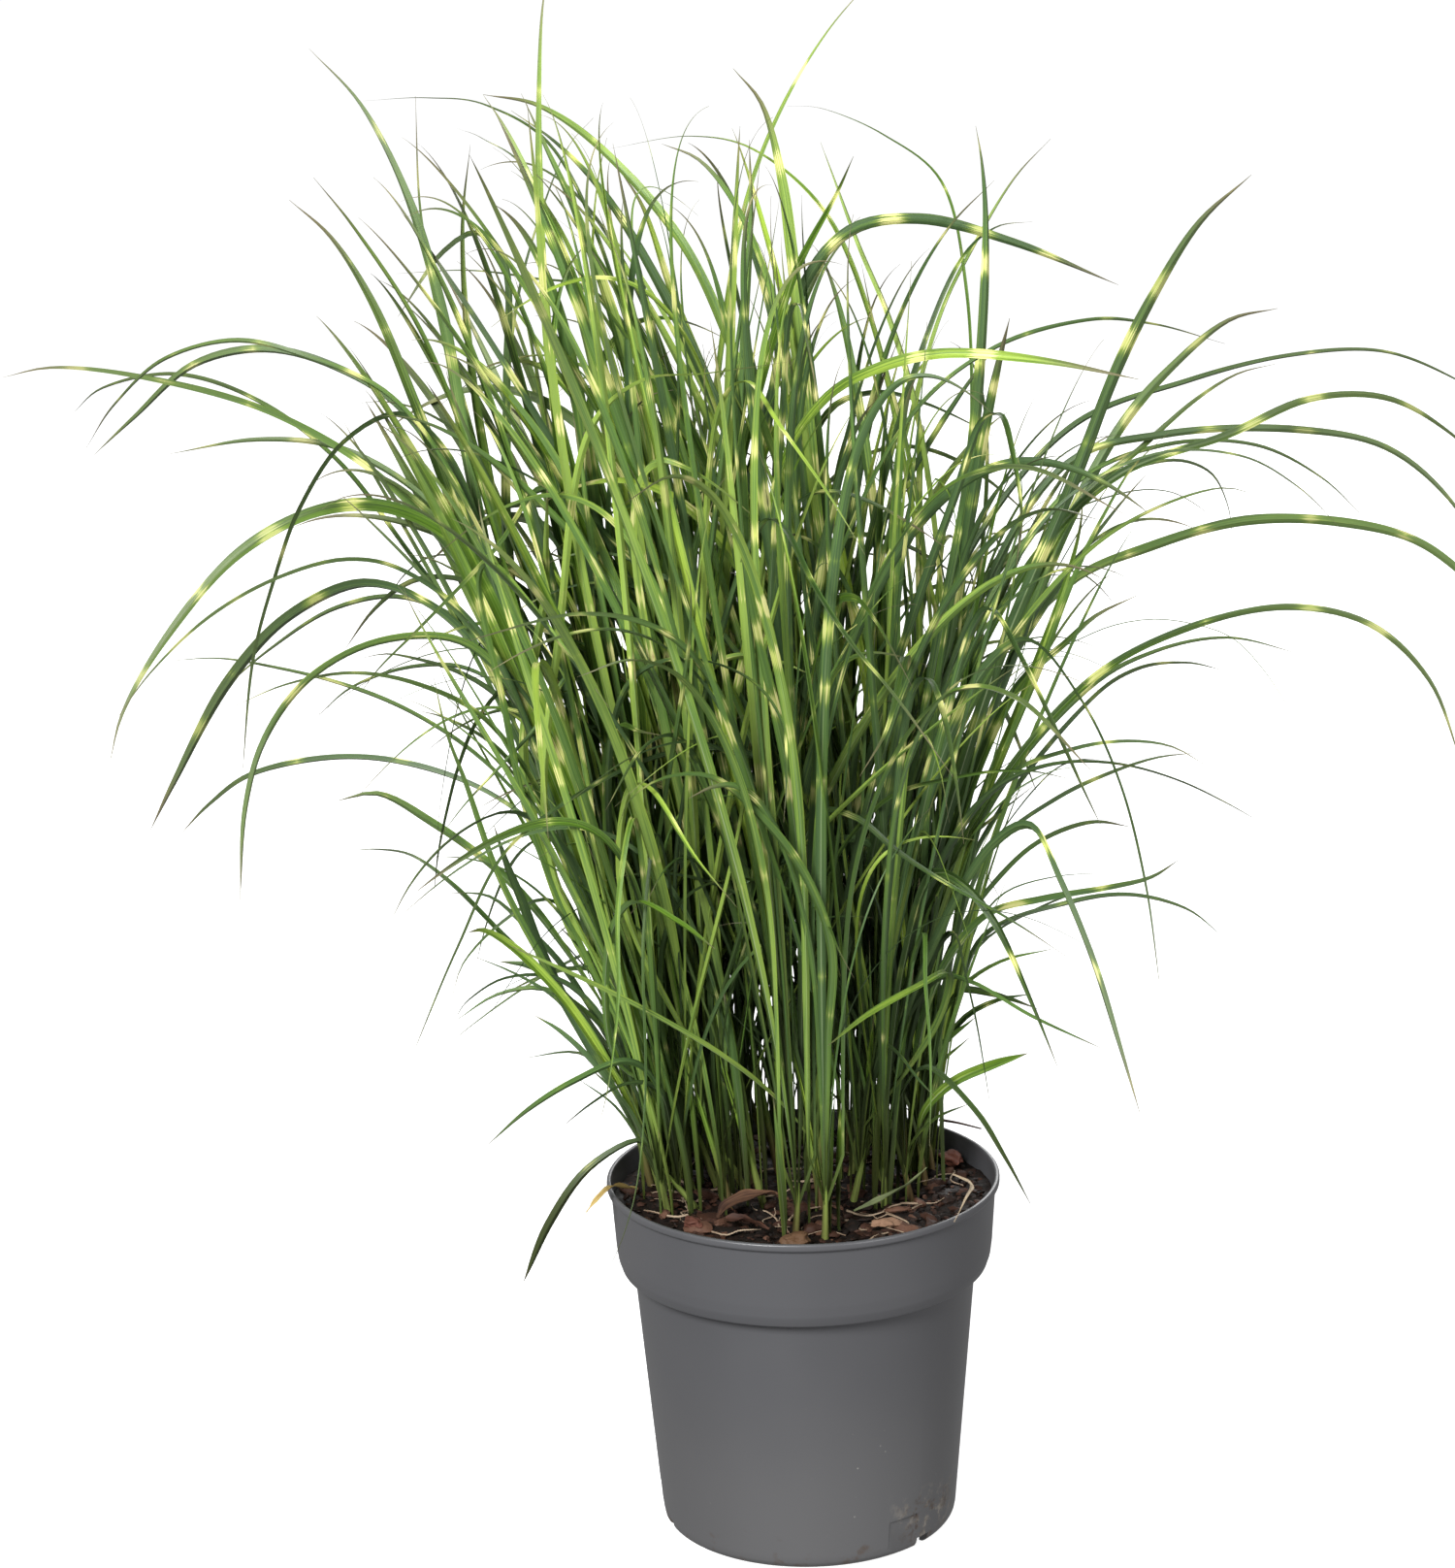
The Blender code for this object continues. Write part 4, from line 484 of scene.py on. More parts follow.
def hidden_leaf(start, bow, width, shape, rolls):
    """A leaf of the unseen front or back, from its shape and the place on the stem where it starts."""
    points, out = shape
    knots = [start]
    sideways = out.cross(UP)
    for i, point in enumerate(points):
        knots.append(point + sideways * bow * bowed((i + 1) / len(points)))
    return {"width": width / 1000, "path": smooth_path(knots), "out": out,
            "roll": math.radians(TWIST_DEGREES) * (rolls[0] - 0.5),
            "twist": math.radians(HIDDEN_TWIST) * (rolls[2] - 0.5)}


def blade_sections(leaf):
    """The blade as triangles' corners, left edge, right edge and keel, and its tip."""
    count = min(max(round(turning(leaf["path"]) / TURN_PER_STEP) + 3, 4), 7)
    rows = stations(leaf["path"], count)
    sections = []
    for i in range(len(rows) - 1):
        centre, share = rows[i]
        tangent = (rows[i + 1][0] - rows[max(i - 1, 0)][0]).normalized()
        side, keel = leaf_frame(leaf, tangent, share)
        half = leaf["width"] / 2 * width_at(share)
        depth = KEEL_SHARE * half + KEEL_LEAST
        sections.append([centre + side * half, centre - side * half, centre + keel * depth])
    return sections, rows[-1][0]


def sections_mesh(sections, tip):
    """The sections joined by triangles and closed at the tip."""
    vertices = [corner for section in sections for corner in section] + [tip]
    faces = []
    for a, b, c, d in wall_faces(len(sections), 3):
        faces += [(a, b, c), (a, c, d)]
    last = 3 * (len(sections) - 1)
    faces += [(last + k, last + (k + 1) % 3, len(vertices) - 1) for k in range(3)]
    return vertices, faces


def culm_mesh(culm):
    """The stem's five-sided rings, lowest first, and the sides between them."""
    turns = [heading(2 * math.pi * (k + 0.5) / CULM_SIDES - math.pi / 2) for k in range(CULM_SIDES)]
    vertices = [centre + turn * radius for centre, radius in culm for turn in turns]
    return vertices, wall_faces(len(culm), CULM_SIDES)


def bridge(loop_a, loop_b, vertices):
    """Triangles between two loops of vertex numbers, whatever their counts."""
    def middle(loop):
        return sum((vertices[i] for i in loop), Vector()) / len(loop)

    axis = middle(loop_b) - middle(loop_a)

    def turned_along(loop):
        centre = middle(loop)
        spin = sum(((vertices[a] - centre).cross(vertices[b] - centre)
                    for a, b in zip(loop, loop[1:] + loop[:1])), Vector())
        return loop if spin.dot(axis) > 0 else loop[::-1]

    first, second = turned_along(list(loop_a)), turned_along(list(loop_b))
    shift = middle(second) - middle(first)

    def stretch(start):
        return sum((vertices[second[(start + j) % len(second)]] - shift
                    - vertices[first[round(j * len(first) / len(second))]]).length
                   for j in range(len(second)))

    start = min(range(len(second)), key=stretch)
    second = second[start:] + second[:start]
    faces = []
    i = j = 0
    while i < len(first) or j < len(second):
        a, b = first[i % len(first)], second[j % len(second)]
        if (i + 0.5) / len(first) <= (j + 0.5) / len(second):
            i += 1
            faces.append((a, first[i % len(first)], b))
        else:
            j += 1
            faces.append((a, second[j % len(second)], b))
    return faces


def opened_face(sides, face):
    """The corners of the stem's face that a leaf grows from: its top, or one side of its neck."""
    if face is None:
        return list(range(3 * CULM_SIDES, 4 * CULM_SIDES))
    return list(sides[2 * CULM_SIDES + face])


def leaf_mesh(loop, leaf):
    """A leaf from the stem's opened face to its tip, the face's corners first."""
    added, blade = sections_mesh(*blade_sections(leaf))
    vertices = list(loop) + added
    base = len(loop)
    faces = [tuple(base + i for i in face) for face in blade]
    return vertices, faces + bridge(list(range(base)), [base, base + 1, base + 2], vertices)


def keep_out():
    """The pot's rim and the mix's surface, which no leaf may touch."""
    vertices = [heading(2 * math.pi * k / GUARD_SIDES) * radius + UP * height
                for radius, height in GUARD_RINGS for k in range(GUARD_SIDES)]
    return vertices, wall_faces(len(GUARD_RINGS), GUARD_SIDES)


def crosses(first, second):
    """Whether two meshes meet anywhere but at corners they share."""
    (tree_a, points_a, faces_a), (tree_b, points_b, faces_b) = first, second
    for a, b in tree_a.overlap(tree_b):
        corners = {tuple(points_a[i]) for i in faces_a[a]}
        if not corners & {tuple(points_b[i]) for i in faces_b[b]}:
            return True
    return False


def with_tree(vertices, faces):
    return BVHTree.FromPolygons(vertices, faces), vertices, faces


def pick_faces(wishes):
    """Which sides of the neck the second and third leaves grow from, each looking its leaf's way."""
    sides = range(CULM_SIDES)
    pairs = [(a, b) for a in sides for b in sides if (a - b) % CULM_SIDES in (2, 3)]
    best = max(pairs, key=lambda pair: sum(face_normal(k).dot(w) for k, w in zip(pair, wishes)))
    return [None, *best]


def grown_leaf(tiller, order, way, rolls):
    """One of a tiller's leaves, with its sideways bow and its tip's shift towards the back."""
    bow, shift = way
    row, shape = tiller["rows"][order], tiller["shapes"][order]
    start = departure(tiller["culm"], tiller["faces"][order])
    if row is None:
        return hidden_leaf(start, bow, shape[1], shape[0], rolls)
    row = (row[0], row[1] + shift) + tuple(row[2:])
    return leaf_of(row, tiller["foot"], start, bow, rolls)


def plan_tillers():
    """Every tiller with its stem and leaves, each leaf bowed until it passes clear of the others."""
    rng = random.Random(SEED)
    tillers = []
    for foot, rows in TILLERS:
        foot = (foot[0] * CM, foot[1] * CM)
        rows, shapes = list(rows), [None] * len(rows)
        while len(rows) < LEAVES_LEAST:
            rows.append(None)
            shapes.append((hidden_row(foot, rng, rng.random()), rng.uniform(*HIDDEN_WIDTH)))
        firsts, wishes = [], []
        for row, shape in zip(rows, shapes):
            if row is None:
                firsts.append(shape[0][0][0])
                wishes.append(shape[0][1])
            else:
                firsts.append(on_sight_line(row[2][0] * CM, row[2][1] * CM, foot[1]))
                wishes.append(Vector((row[-1][0] * CM - foot[0], row[1] * CM - foot[1], 0.0)).normalized())
        culm = culm_of(foot, firsts, soil_height(*foot))
        tillers.append({"foot": foot, "culm": culm, "rows": rows, "shapes": shapes,
                        "faces": pick_faces(wishes[1:]), "leaves": []})
    settle(tillers, rng)
    return tillers


def settle(tillers, rng):
    """Grow every leaf where it touches the fewest others, then regrow those that still touch."""
    ways = [(bow, shift) for shift in SHIFTS for bow in BOWS]
    culms = [with_tree(*culm_mesh(tiller["culm"])) for tiller in tillers]
    guard = with_tree(*keep_out())
    grown = {}

    def touched(place, mesh):
        count = GUARD_WEIGHT * crosses(mesh, guard) + crosses(mesh, mesh)
        count += sum(crosses(mesh, culm) for culm in culms)
        return count + sum(crosses(mesh, other) for key, (_, other) in grown.items() if key != place)

    for turn in range(SETTLE_TURNS):
        stuck = []
        for index, tiller in enumerate(tillers):
            _, corners, sides = culms[index]
            for order, face in enumerate(tiller["faces"]):
                place = (index, order)
                if turn and not touched(place, grown[place][1]):
                    continue
                loop = [corners[i] for i in opened_face(sides, face)]
                best = None
                tries = [[rng.random() for _ in range(3)] for _ in range(1 + 2 * turn)]
                for way, rolls in itertools.product(ways, tries):
                    leaf = grown_leaf(tiller, order, way, rolls)
                    mesh = with_tree(*leaf_mesh(loop, leaf))
                    count = touched(place, mesh)
                    if best is None or count < best[0]:
                        best = (count, leaf, mesh)
                    if not count:
                        break
                grown[place] = best[1:]
                if best[0]:
                    stuck.append((index + 1, order, best[0]))
        if not stuck:
            break
    if stuck:
        print("leaves that still touch:", stuck)
    for (index, _), (leaf, _) in sorted(grown.items(), key=lambda item: item[0]):
        tillers[index]["leaves"].append(leaf)


# --- meshes ---------------------------------------------------------------------------------------------

class Body:
    """A mesh in the making: corners, faces with their finish, and named values for every corner."""

    def __init__(self, *names):
        self.corners, self.faces, self.finish = [], [], []
        self.values = {name: [] for name in names}
        self.count = 0

    def add(self, corners, faces, finish=0, **values):
        corners = np.asarray(corners, float)
        self.faces += [tuple(self.count + i for i in face) for face in faces]
        self.finish += [finish] * len(faces)
        self.corners.append(corners)
        self.count += len(corners)
        for name, kept in self.values.items():
            kept.append(np.broadcast_to(values.get(name, 0.0), (len(corners),)))

    def make(self, name, materials, sharp=50, replaces=()):
        mesh = bpy.data.meshes.new(name)
        mesh.from_pydata(np.concatenate(self.corners), [], self.faces)
        for key, kept in self.values.items():
            attribute = mesh.attributes.new(key, "FLOAT", "POINT")
            attribute.data.foreach_set("value", np.concatenate(kept).astype(np.float32))
        mesh.polygons.foreach_set("material_index", self.finish)
        mesh.shade_smooth()
        mesh.set_sharp_from_angle(angle=math.radians(sharp))
        for material in materials:
            mesh.materials.append(material)
        return stand(bpy.data.objects.new(name, mesh), replaces)


def stand(piece, replaces=()):
    """Put a piece in the scene, on the part's only body and for its solids."""
    bpy.context.scene.collection.objects.link(piece)
    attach(piece, "root")
    if replaces:
        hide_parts(*replaces)
    return piece


def unit(rows):
    return rows / np.maximum(np.linalg.norm(rows, axis=-1, keepdims=True), 1e-9)


def as_rows(points):
    return np.array([tuple(point) for point in points], float)


def lengths_of(path):
    """How far along its path each point lies."""
    return np.concatenate([[0.0], np.cumsum(np.linalg.norm(np.diff(path, axis=0), axis=1))])


def rolled(side, keel, roll):
    """The directions across a path and out from it, turned about the path at every point."""
    cos, sin = np.cos(roll)[:, None], np.sin(roll)[:, None]
    return side * cos + keel * sin, keel * cos - side * sin


def spread(path, side, keel, reach, depth):
    """The corners of all sections, from how far each lies across its path and out from it."""
    corners = path[:, None] + side[:, None] * reach[..., None] + keel[:, None] * depth[..., None]
    return corners.reshape(-1, 3)


def ramp(value, start, end):
    """How far a value has come from start to end, from 0 to 1."""
    return min(max((value - start) / (end - start), 0.0), 1.0)


def ring_faces(rings, sides):
    """The quads between rings of corners, and a cap at each end."""
    last = (rings - 1) * sides
    return wall_faces(rings, sides) + [tuple(range(sides))[::-1], tuple(last + k for k in range(sides))]


def add_tube(body, path, radii, sides=8, flat=1.0, turn=0.0, finish=0, **values):
    """A tube along a path, its radius given at every point, flattened across itself."""
    path = as_rows(path)
    tangent = unit(np.gradient(path, axis=0))
    guide = np.array([1.0, 0.2, 0.0]) if abs(tangent[:, 2]).mean() > 0.7 else np.array([0.0, 0.0, 1.0])
    u = unit(np.cross(guide, tangent))
    v = np.cross(tangent, u)
    angles = turn + 2 * np.pi * np.arange(sides) / sides
    ring = (u[:, None] * np.cos(angles)[None, :, None]
            + v[:, None] * (np.sin(angles) * flat)[None, :, None]) * np.array(radii)[:, None, None]
    lengths = lengths_of(path)
    given = {"along": np.repeat(lengths, sides), "across": np.tile(np.cos(angles), len(path)),
             "share": np.repeat(lengths / lengths[-1], sides)}
    given.update(values)
    body.add((path[:, None] + ring).reshape(-1, 3), ring_faces(len(path), sides), finish, **given)


# --- blades ---------------------------------------------------------------------------------------------

# Places on the clump's face where a cream band lies across a leaf: (across, up) in cm.
BANDS_AT = (
    (-29.5, 60.7), (-33.3, 56.5), (-28.5, 59), (-26.8, 56.3), (-33.8, 48.9), (-28.5, 50.8), (-22.3, 82.2),
    (-14, 75), (-3, 77), (-1, 79), (11, 74.5), (11, 77), (11, 68.3), (8, 76.7), (29, 59), (34.5, 59),
    (7.5, 69), (10.5, 69), (12.3, 37.6), (17.3, 38.3), (16.8, 48.5), (17.9, 46.3), (14.3, 40.5),
    (17, 33.5), (18.1, 30.2), (19.2, 26.2), (12, 54), (12.5, 33.7), (-0.5, 47), (-14.4, 47.5),
    (-14.4, 43.8), (8.3, 49),
)
BAND_REACH = 0.012  # how near to one of them a leaf has to pass to have it
READ_BAND_HALF = (0.004, 0.008)  # half a band's length
BAND_HALF = (-0.0015, 0.0080)  # under 0, only its feathered edges show
BAND_FIRST = (0.0, 0.06)
BAND_GAP = (0.034, 0.070)
BANDS_FADE = (0.36, 0.48)  # bands are weaker below this height
FADED_BY = 0.006
BAND_LIMIT = 0.012  # how far beyond its end a band is still counted

# A blade's section: how far across and how far towards its back each corner lies
RING_ACROSS = (-1.0, -0.5, 0.0, 0.5, 1.0, 0.5, 0.0, -0.5)
RING_UNDER = (0.5, 0.0, 0.0, 0.0, 0.5, 1.0, 1.0, 1.0)
FINE_ACROSS = (-1.0, 0.0, 1.0, 0.0)
FINE_UNDER = (0.5, 0.0, 0.5, 1.0)
FINE_BELOW = 0.0046  # a narrower blade has the plainer section
NO_RIB_BELOW = 0.003
BLADE_THICK = 0.00028
RIB_THICK = 0.0003
EDGE_LEAST = 0.00012

BROAD_AT = 0.45  # where along it a blade is widest
FOOT_WIDE = 0.55
FINE_TIP = (1.8, 2.6)  # how long a blade keeps its width: the higher, the longer
BROAD_TIP = (2.6, 4.6)
FOLD_AT_FOOT = 68  # degrees
FOLD_OPENS_BY = 0.05
WAVE_PACE = (9, 16)
WAVE_ROLL = 0.2
EDGE_WAVE = 0.04  # how much a blade's width wavers
THIN_WITHIN = 0.002  # a blade narrower than this to either side thins with its width
RIB_LESS = 0.002  # how much shorter the bands are on a blade without a rib
SHEATHED = 3  # points of a leaf's path that its sheath takes the place of

# How a leaf read in the photograph shows its face
SHOWN = (0.6, 0.9)  # how squarely it looks at the eye
TURNS = np.linspace(-1.4, 1.4, 29)
SEEN_SHARE = 0.72  # of the width of its solid
HIGH_WIDER = 0.15
NEAR_NARROWER = 0.50
WIDEST = 0.0092


def on_face(point):
    """Where a point is seen on the clump's face plane: (across, up)."""
    share = -EYE.y / (point[1] - EYE.y)
    return EYE.x + (point[0] - EYE.x) * share, EYE.z + (point[2] - EYE.z) * share


def band_places(path, along, rng, read):
    """Where along a leaf its bands lie, with half their length: those read first."""
    places = []
    seen = as_rows(on_face(point) for point in path)

    def free(at):
        return all(abs(at - other) > BAND_GAP[0] for other, _ in places)

    for across, up in list(read):
        far = np.hypot(seen[:, 0] - across * CM, seen[:, 1] - up * CM)
        i = int(far.argmin())
        if far[i] < BAND_REACH and free(along[i]):
            places.append((along[i], rng.uniform(*READ_BAND_HALF)))
            read.remove((across, up))
    at = rng.uniform(*BAND_FIRST)
    while at < along[-1]:
        if free(at):
            height = seen[min(int(np.searchsorted(along, at)), len(seen) - 1), 1]
            faded = 1 - ramp(height, *BANDS_FADE)
            places.append((at, rng.uniform(*BAND_HALF) - FADED_BY * faded))
        at += rng.uniform(*BAND_GAP)
    return places


def widths(share, fine, foot):
    """A blade's width along its length, as a share of its widest: full for long, then drawn out."""
    rise = foot + (1 - foot) * np.sin(np.pi / 2 * np.minimum(share / BROAD_AT, 1.0)) ** 1.5
    fall = 1.0 - np.maximum((share - BROAD_AT) / (1.0 - BROAD_AT), 0.0) ** fine
    return np.where(share < BROAD_AT, rise, fall)


def unrolled(leaf, path):
    """The directions across a leaf and out from its back, at every point, before it rolls."""
    tangent = unit(np.gradient(path, axis=0))
    side = np.cross(np.array(leaf["out"]), (0.0, 0.0, 1.0))[None]
    side = unit(side - tangent * (tangent @ side[0])[:, None])
    return side, np.cross(tangent, side)


def as_seen(leaf, rng):
    """The leaf turned about itself to show its face, if need be, and as wide as it is seen."""
    path = as_rows(leaf["path"])
    side, keel = unrolled(leaf, path)
    view = unit(path - np.array(EYE))
    part = slice(len(path) // 4, 4 * len(path) // 5)
    want = rng.uniform(*SHOWN)

    def facing(turn):
        _, shown = rolled(side, keel, leaf["roll"] + turn + leaf["twist"] * np.linspace(0, 1, len(path)))
        return float(np.abs((shown * view).sum(1))[part].mean())

    turn = min(TURNS, key=lambda turn: (max(want - facing(turn), 0.0), abs(turn)))
    tip = leaf["path"][-1]
    near = 1.0 - NEAR_NARROWER * ramp(-tip.y, 0.0, 0.25)
    high = 1.0 + HIGH_WIDER * ramp(tip.z, 0.5, 0.7)
    width = min(leaf["width"] * SEEN_SHARE * high / max(facing(turn), 0.5), WIDEST) * near
    return dict(leaf, width=width, roll=leaf["roll"] + float(turn))


def add_blade(body, leaf, rng, before=(), hue=0.5, open_fold=13.0, read=()):
    """A leaf blade: a folded sheet with a midrib, along its path, from where it leaves its sheath."""
    path = as_rows(list(before) + list(leaf["path"][SHEATHED if before else 0:]))
    along = lengths_of(path)
    start = along[len(before)]
    share = np.clip((along - start) / (along[-1] - start), 0.0, 1.0)
    phase, pace = rng.uniform(0, 6.3), rng.uniform(*WAVE_PACE)
    wave = WAVE_ROLL * np.sin(pace * (along - start) + phase) * np.minimum(share * 4, 1.0)
    side, keel = rolled(*unrolled(leaf, path), leaf["roll"] + leaf["twist"] * share + wave)
    section = (FINE_ACROSS, FINE_UNDER) if leaf["width"] < FINE_BELOW else (RING_ACROSS, RING_UNDER)
    across, under = np.array(section)
    fine = rng.uniform(*(BROAD_TIP if leaf["width"] > FINE_BELOW else FINE_TIP))
    half = np.maximum(leaf["width"] / 2 * widths(share, fine, leaf.get("foot", FOOT_WIDE)), EDGE_LEAST)
    half = half * (1 + EDGE_WAVE * np.sin(pace * 7 * along + phase))
    fold = np.radians(open_fold + (FOLD_AT_FOOT - open_fold) * np.exp(-share / FOLD_OPENS_BY))
    reach = (half * np.cos(fold))[:, None] * across[None]
    depth = (half * np.sin(fold))[:, None] * (1 - np.abs(across))[None]
    thick = BLADE_THICK + RIB_THICK * (1 - np.abs(across)) ** 2
    thinned = np.minimum(half / THIN_WITHIN, 1.0)[:, None]
    depth = depth + np.where(under == 1.0, thick, 0.0)[None] * thinned
    inside = np.full(len(along), -BAND_LIMIT)
    for at, length in band_places(path, along, rng, read):
        inside = np.maximum(inside, length - np.abs(along - at))
    if leaf["width"] < NO_RIB_BELOW:
        inside -= RIB_LESS
    sides = len(across)
    body.add(spread(path, side, keel, reach, depth), ring_faces(len(path), sides),
             across=np.tile(across, len(path)), under=np.tile(under, len(path)),
             share=np.repeat(share, sides), along=np.repeat(along, sides),
             band=np.repeat(inside / MM, sides), seed=rng.random(), hue=hue, wide=leaf["width"] / CM)


# --- the clump ------------------------------------------------------------------------------------------

# The dense middle of the clump as it is seen from the front: the outline's (across, up) in cm.
FAN = (
    (-11, 25), (-16, 32), (-19, 43), (-21, 50), (-23.5, 60), (-23, 70), (-19, 78), (-13, 83), (-1, 80),
    (4, 74), (10, 70), (17, 66), (21, 63), (18, 57), (15, 49), (11, 42), (10.7, 33), (10, 25),
)
AROUND_FAN = [(across * 1.1, 50 + (up - 50) * 1.06) for across, up in FAN]
STAYS_FROM = 0.27  # whether a leaf stays in the fan is asked of the part of it above this height
STAYS_SHARE = 0.88
BOX_MARGIN = 0.005
CLEAR_OF_MIX = 0.012
NEAR_POT = 0.122  # within this radius a leaf has to pass inside the rim or over it
RIM_INSIDE, RIM_OVER = 0.104, 0.222
TRIES = 20

HUE, HUE_SPREAD = 0.37, 0.50

MIDDLE_LEAVES = (8, 9, 10)  # tried for each tiller
MIDDLE_STEP = 0.009
MIDDLE_UP = (32, 83)  # their crowns' heights, in cm
MIDDLE_HIGH = 58  # from here up they are wider and seldom arch
MIDDLE_LEFT = -9
MIDDLE_SPREAD = 12.0
MIDDLE_DEPTH = 0.085
MIDDLE_FALL = 0.13
ARCH_SELDOM = (2.3, 5.0)  # below that height and above it
MIDDLE_LEAN = (0.05, 0.32)
LOW_WIDTHS = (2, 2.5, 3, 3.5, 4, 4.5, 5.5, 6.5)
HIGH_LEFT_WIDTHS = (5, 7, 8, 9, 10)
HIGH_RIGHT_WIDTHS = (3, 4.5, 5.5, 6.5, 8)

COMPANIONS = (1, 2, 3)
COMPANION_WIDTHS = (2, 3, 4, 5.5, 7)
COMPANION_WIDE, COMPANION_TALL = (0.45, 0.9), (0.6, 0.97)  # as shares of the leaf that it follows
OUTSIDE_CHANCE = (0.35, 0.12)  # that it may leave the fan, after a high leaf and after a low one

SHOOTS = (2, 3, 4)
SHOOT_BESIDE = (0.003, 0.014)  # its distance from the stem
SHOOTS_WITHIN = 0.096
SHOOT_SUNK = 0.004
SHOOT_LENGTH = (0.08, 0.27)
SHOOT_LEAN = (0.5, 4.2)
SHOOT_WIDTH = (0.0028, 0.0062)

STEM_SHARE = 0.68  # of its solid's thickness
STEM_STEP = 0.008
STEM_TIP = 0.006


def hue_of(leaf, rng):
    """How yellow and bright a leaf is: high at the clump's upper left, low on the right, and low inside the
    clump, which is painted shade.
    """
    tip = leaf["path"][-1]
    high, left = ramp(tip.z, 0.45, 0.80), ramp(tip.x, 0.02, -0.13)
    low, far = ramp(tip.z, 0.45, 0.33), ramp(abs(tip.x), 0.12, 0.24)
    # The drop for leaves low in the clump is painted shade.
    hue = HUE + 0.36 * high * left - 0.08 * high - 0.50 * low + rng.gauss(0.0, HUE_SPREAD)
    return min(max(hue, 0.0), 1.0) * (1.0 - 0.45 * far)


def within(outline, x, y):
    """Whether a place lies inside a closed outline."""
    inside = False
    for (x0, y0), (x1, y1) in zip(outline, outline[1:] + outline[:1]):
        if (y0 > y) != (y1 > y) and x < x0 + (x1 - x0) * (y - y0) / (y1 - y0):
            inside = not inside
    return inside


def stays(path):
    """Whether a leaf is seen against the dense middle almost all its way up from the pot."""
    seen = [on_face(point) for point in path[::4]]
    seen = [within(AROUND_FAN, across / CM, up / CM) for across, up in seen if up > STAYS_FROM]
    return sum(seen) >= STAYS_SHARE * len(seen)


def clear_of_pot(path):
    return all(point.z > SOIL_TOP + CLEAR_OF_MIX and (point.xy.length < RIM_INSIDE or point.z > RIM_OVER)
               for point in path if point.xy.length < NEAR_POT)


def inside_box(path, low, high):
    return all(low[k] + BOX_MARGIN < point[k] < high[k] - BOX_MARGIN for point in path for k in range(3))


def bezier(hold, count):
    """count + 1 points of the curve that its four points hold."""
    path = []
    for i in range(count + 1):
        t = i / count
        path.append(hold[0] * (1 - t) ** 3 + hold[1] * 3 * t * (1 - t) ** 2
                    + hold[2] * 3 * t * t * (1 - t) + hold[3] * t ** 3)
    return path


def middle_leaf(tiller, rng):
    """A leaf of the dense middle: steep from low on its stem, then arching over inside the fan."""
    foot = tiller["culm"][0][0]
    while True:
        across, up = rng.gauss(130 * foot.x - 1, MIDDLE_SPREAD), rng.uniform(*MIDDLE_UP)
        if rng.random() < min((up - 5) / 78, 0.78) and within(FAN, across, up):
            break
    (collar, _), (neck, _) = tiller["culm"][1:3]
    start = collar.lerp(neck, rng.random())
    crown = on_sight_line(across * CM, up * CM, foot.y * 1.6 + rng.gauss(0.0, MIDDLE_DEPTH))
    away = crown - start
    rise = away.z
    away.z = 0.0
    outward = math.copysign(1.0, across + 2 + rng.gauss(0.0, 9.0))
    fall = MIDDLE_FALL * rng.random() ** ARCH_SELDOM[up >= MIDDLE_HIGH]
    reach = rng.uniform(0.0, 0.05) + fall * 0.9
    tip = crown + Vector((outward * reach, rng.gauss(0.0, 0.03), 0.03 - fall))
    crown.z += 0.3 * fall
    out = (tip - start) * Vector((1.0, 1.0, 0.0))
    lean = rng.uniform(*MIDDLE_LEAN)
    hold = [start, start + away * lean + UP * (rise * 0.45), crown - (tip - crown) * 0.25, tip]
    count = int(((crown - start).length + (tip - crown).length) / MIDDLE_STEP) + 2
    choices = LOW_WIDTHS
    if up > MIDDLE_HIGH:
        choices = HIGH_LEFT_WIDTHS if across < MIDDLE_LEFT else HIGH_RIGHT_WIDTHS
    return {"width": rng.choice(choices) / 1000, "foot": 0.28, "path": bezier(hold, count),
            "out": out.normalized(), "roll": rng.uniform(-1.2, 1.2), "twist": rng.gauss(0.0, 0.6)}


def companion(tiller, rng, low, high):
    """A further, finer leaf that follows one of the tiller's own from lower on its stem."""
    for _ in range(TRIES):
        model = rng.choice(tiller["leaves"])
        (collar, _), (neck, _) = tiller["culm"][1:3]
        start = collar.lerp(neck, rng.uniform(0.25, 1.0))
        turn = Matrix.Rotation(rng.gauss(0.0, 0.25), 3, "Z")
        wide, tall = rng.uniform(*COMPANION_WIDE), rng.uniform(*COMPANION_TALL)
        knots = []
        for point in model["path"][::6]:
            step = turn @ (point - model["path"][0])
            knots.append(start + Vector((step.x * wide, step.y * wide, step.z * tall)))
        leaf = {"width": rng.choice(COMPANION_WIDTHS) / 1000, "foot": 0.35,
                "path": smooth_path(knots), "out": turn @ model["out"],
                "roll": model["roll"] + rng.gauss(0.0, 0.4),
                "twist": model["twist"] + rng.gauss(0.0, 0.5)}
        if not clear_of_pot(leaf["path"][3:]) or not inside_box(leaf["path"], low, high):
            continue
        if stays(leaf["path"]) or rng.random() < OUTSIDE_CHANCE[model["path"][-1].z <= 0.45]:
            return leaf
    return None


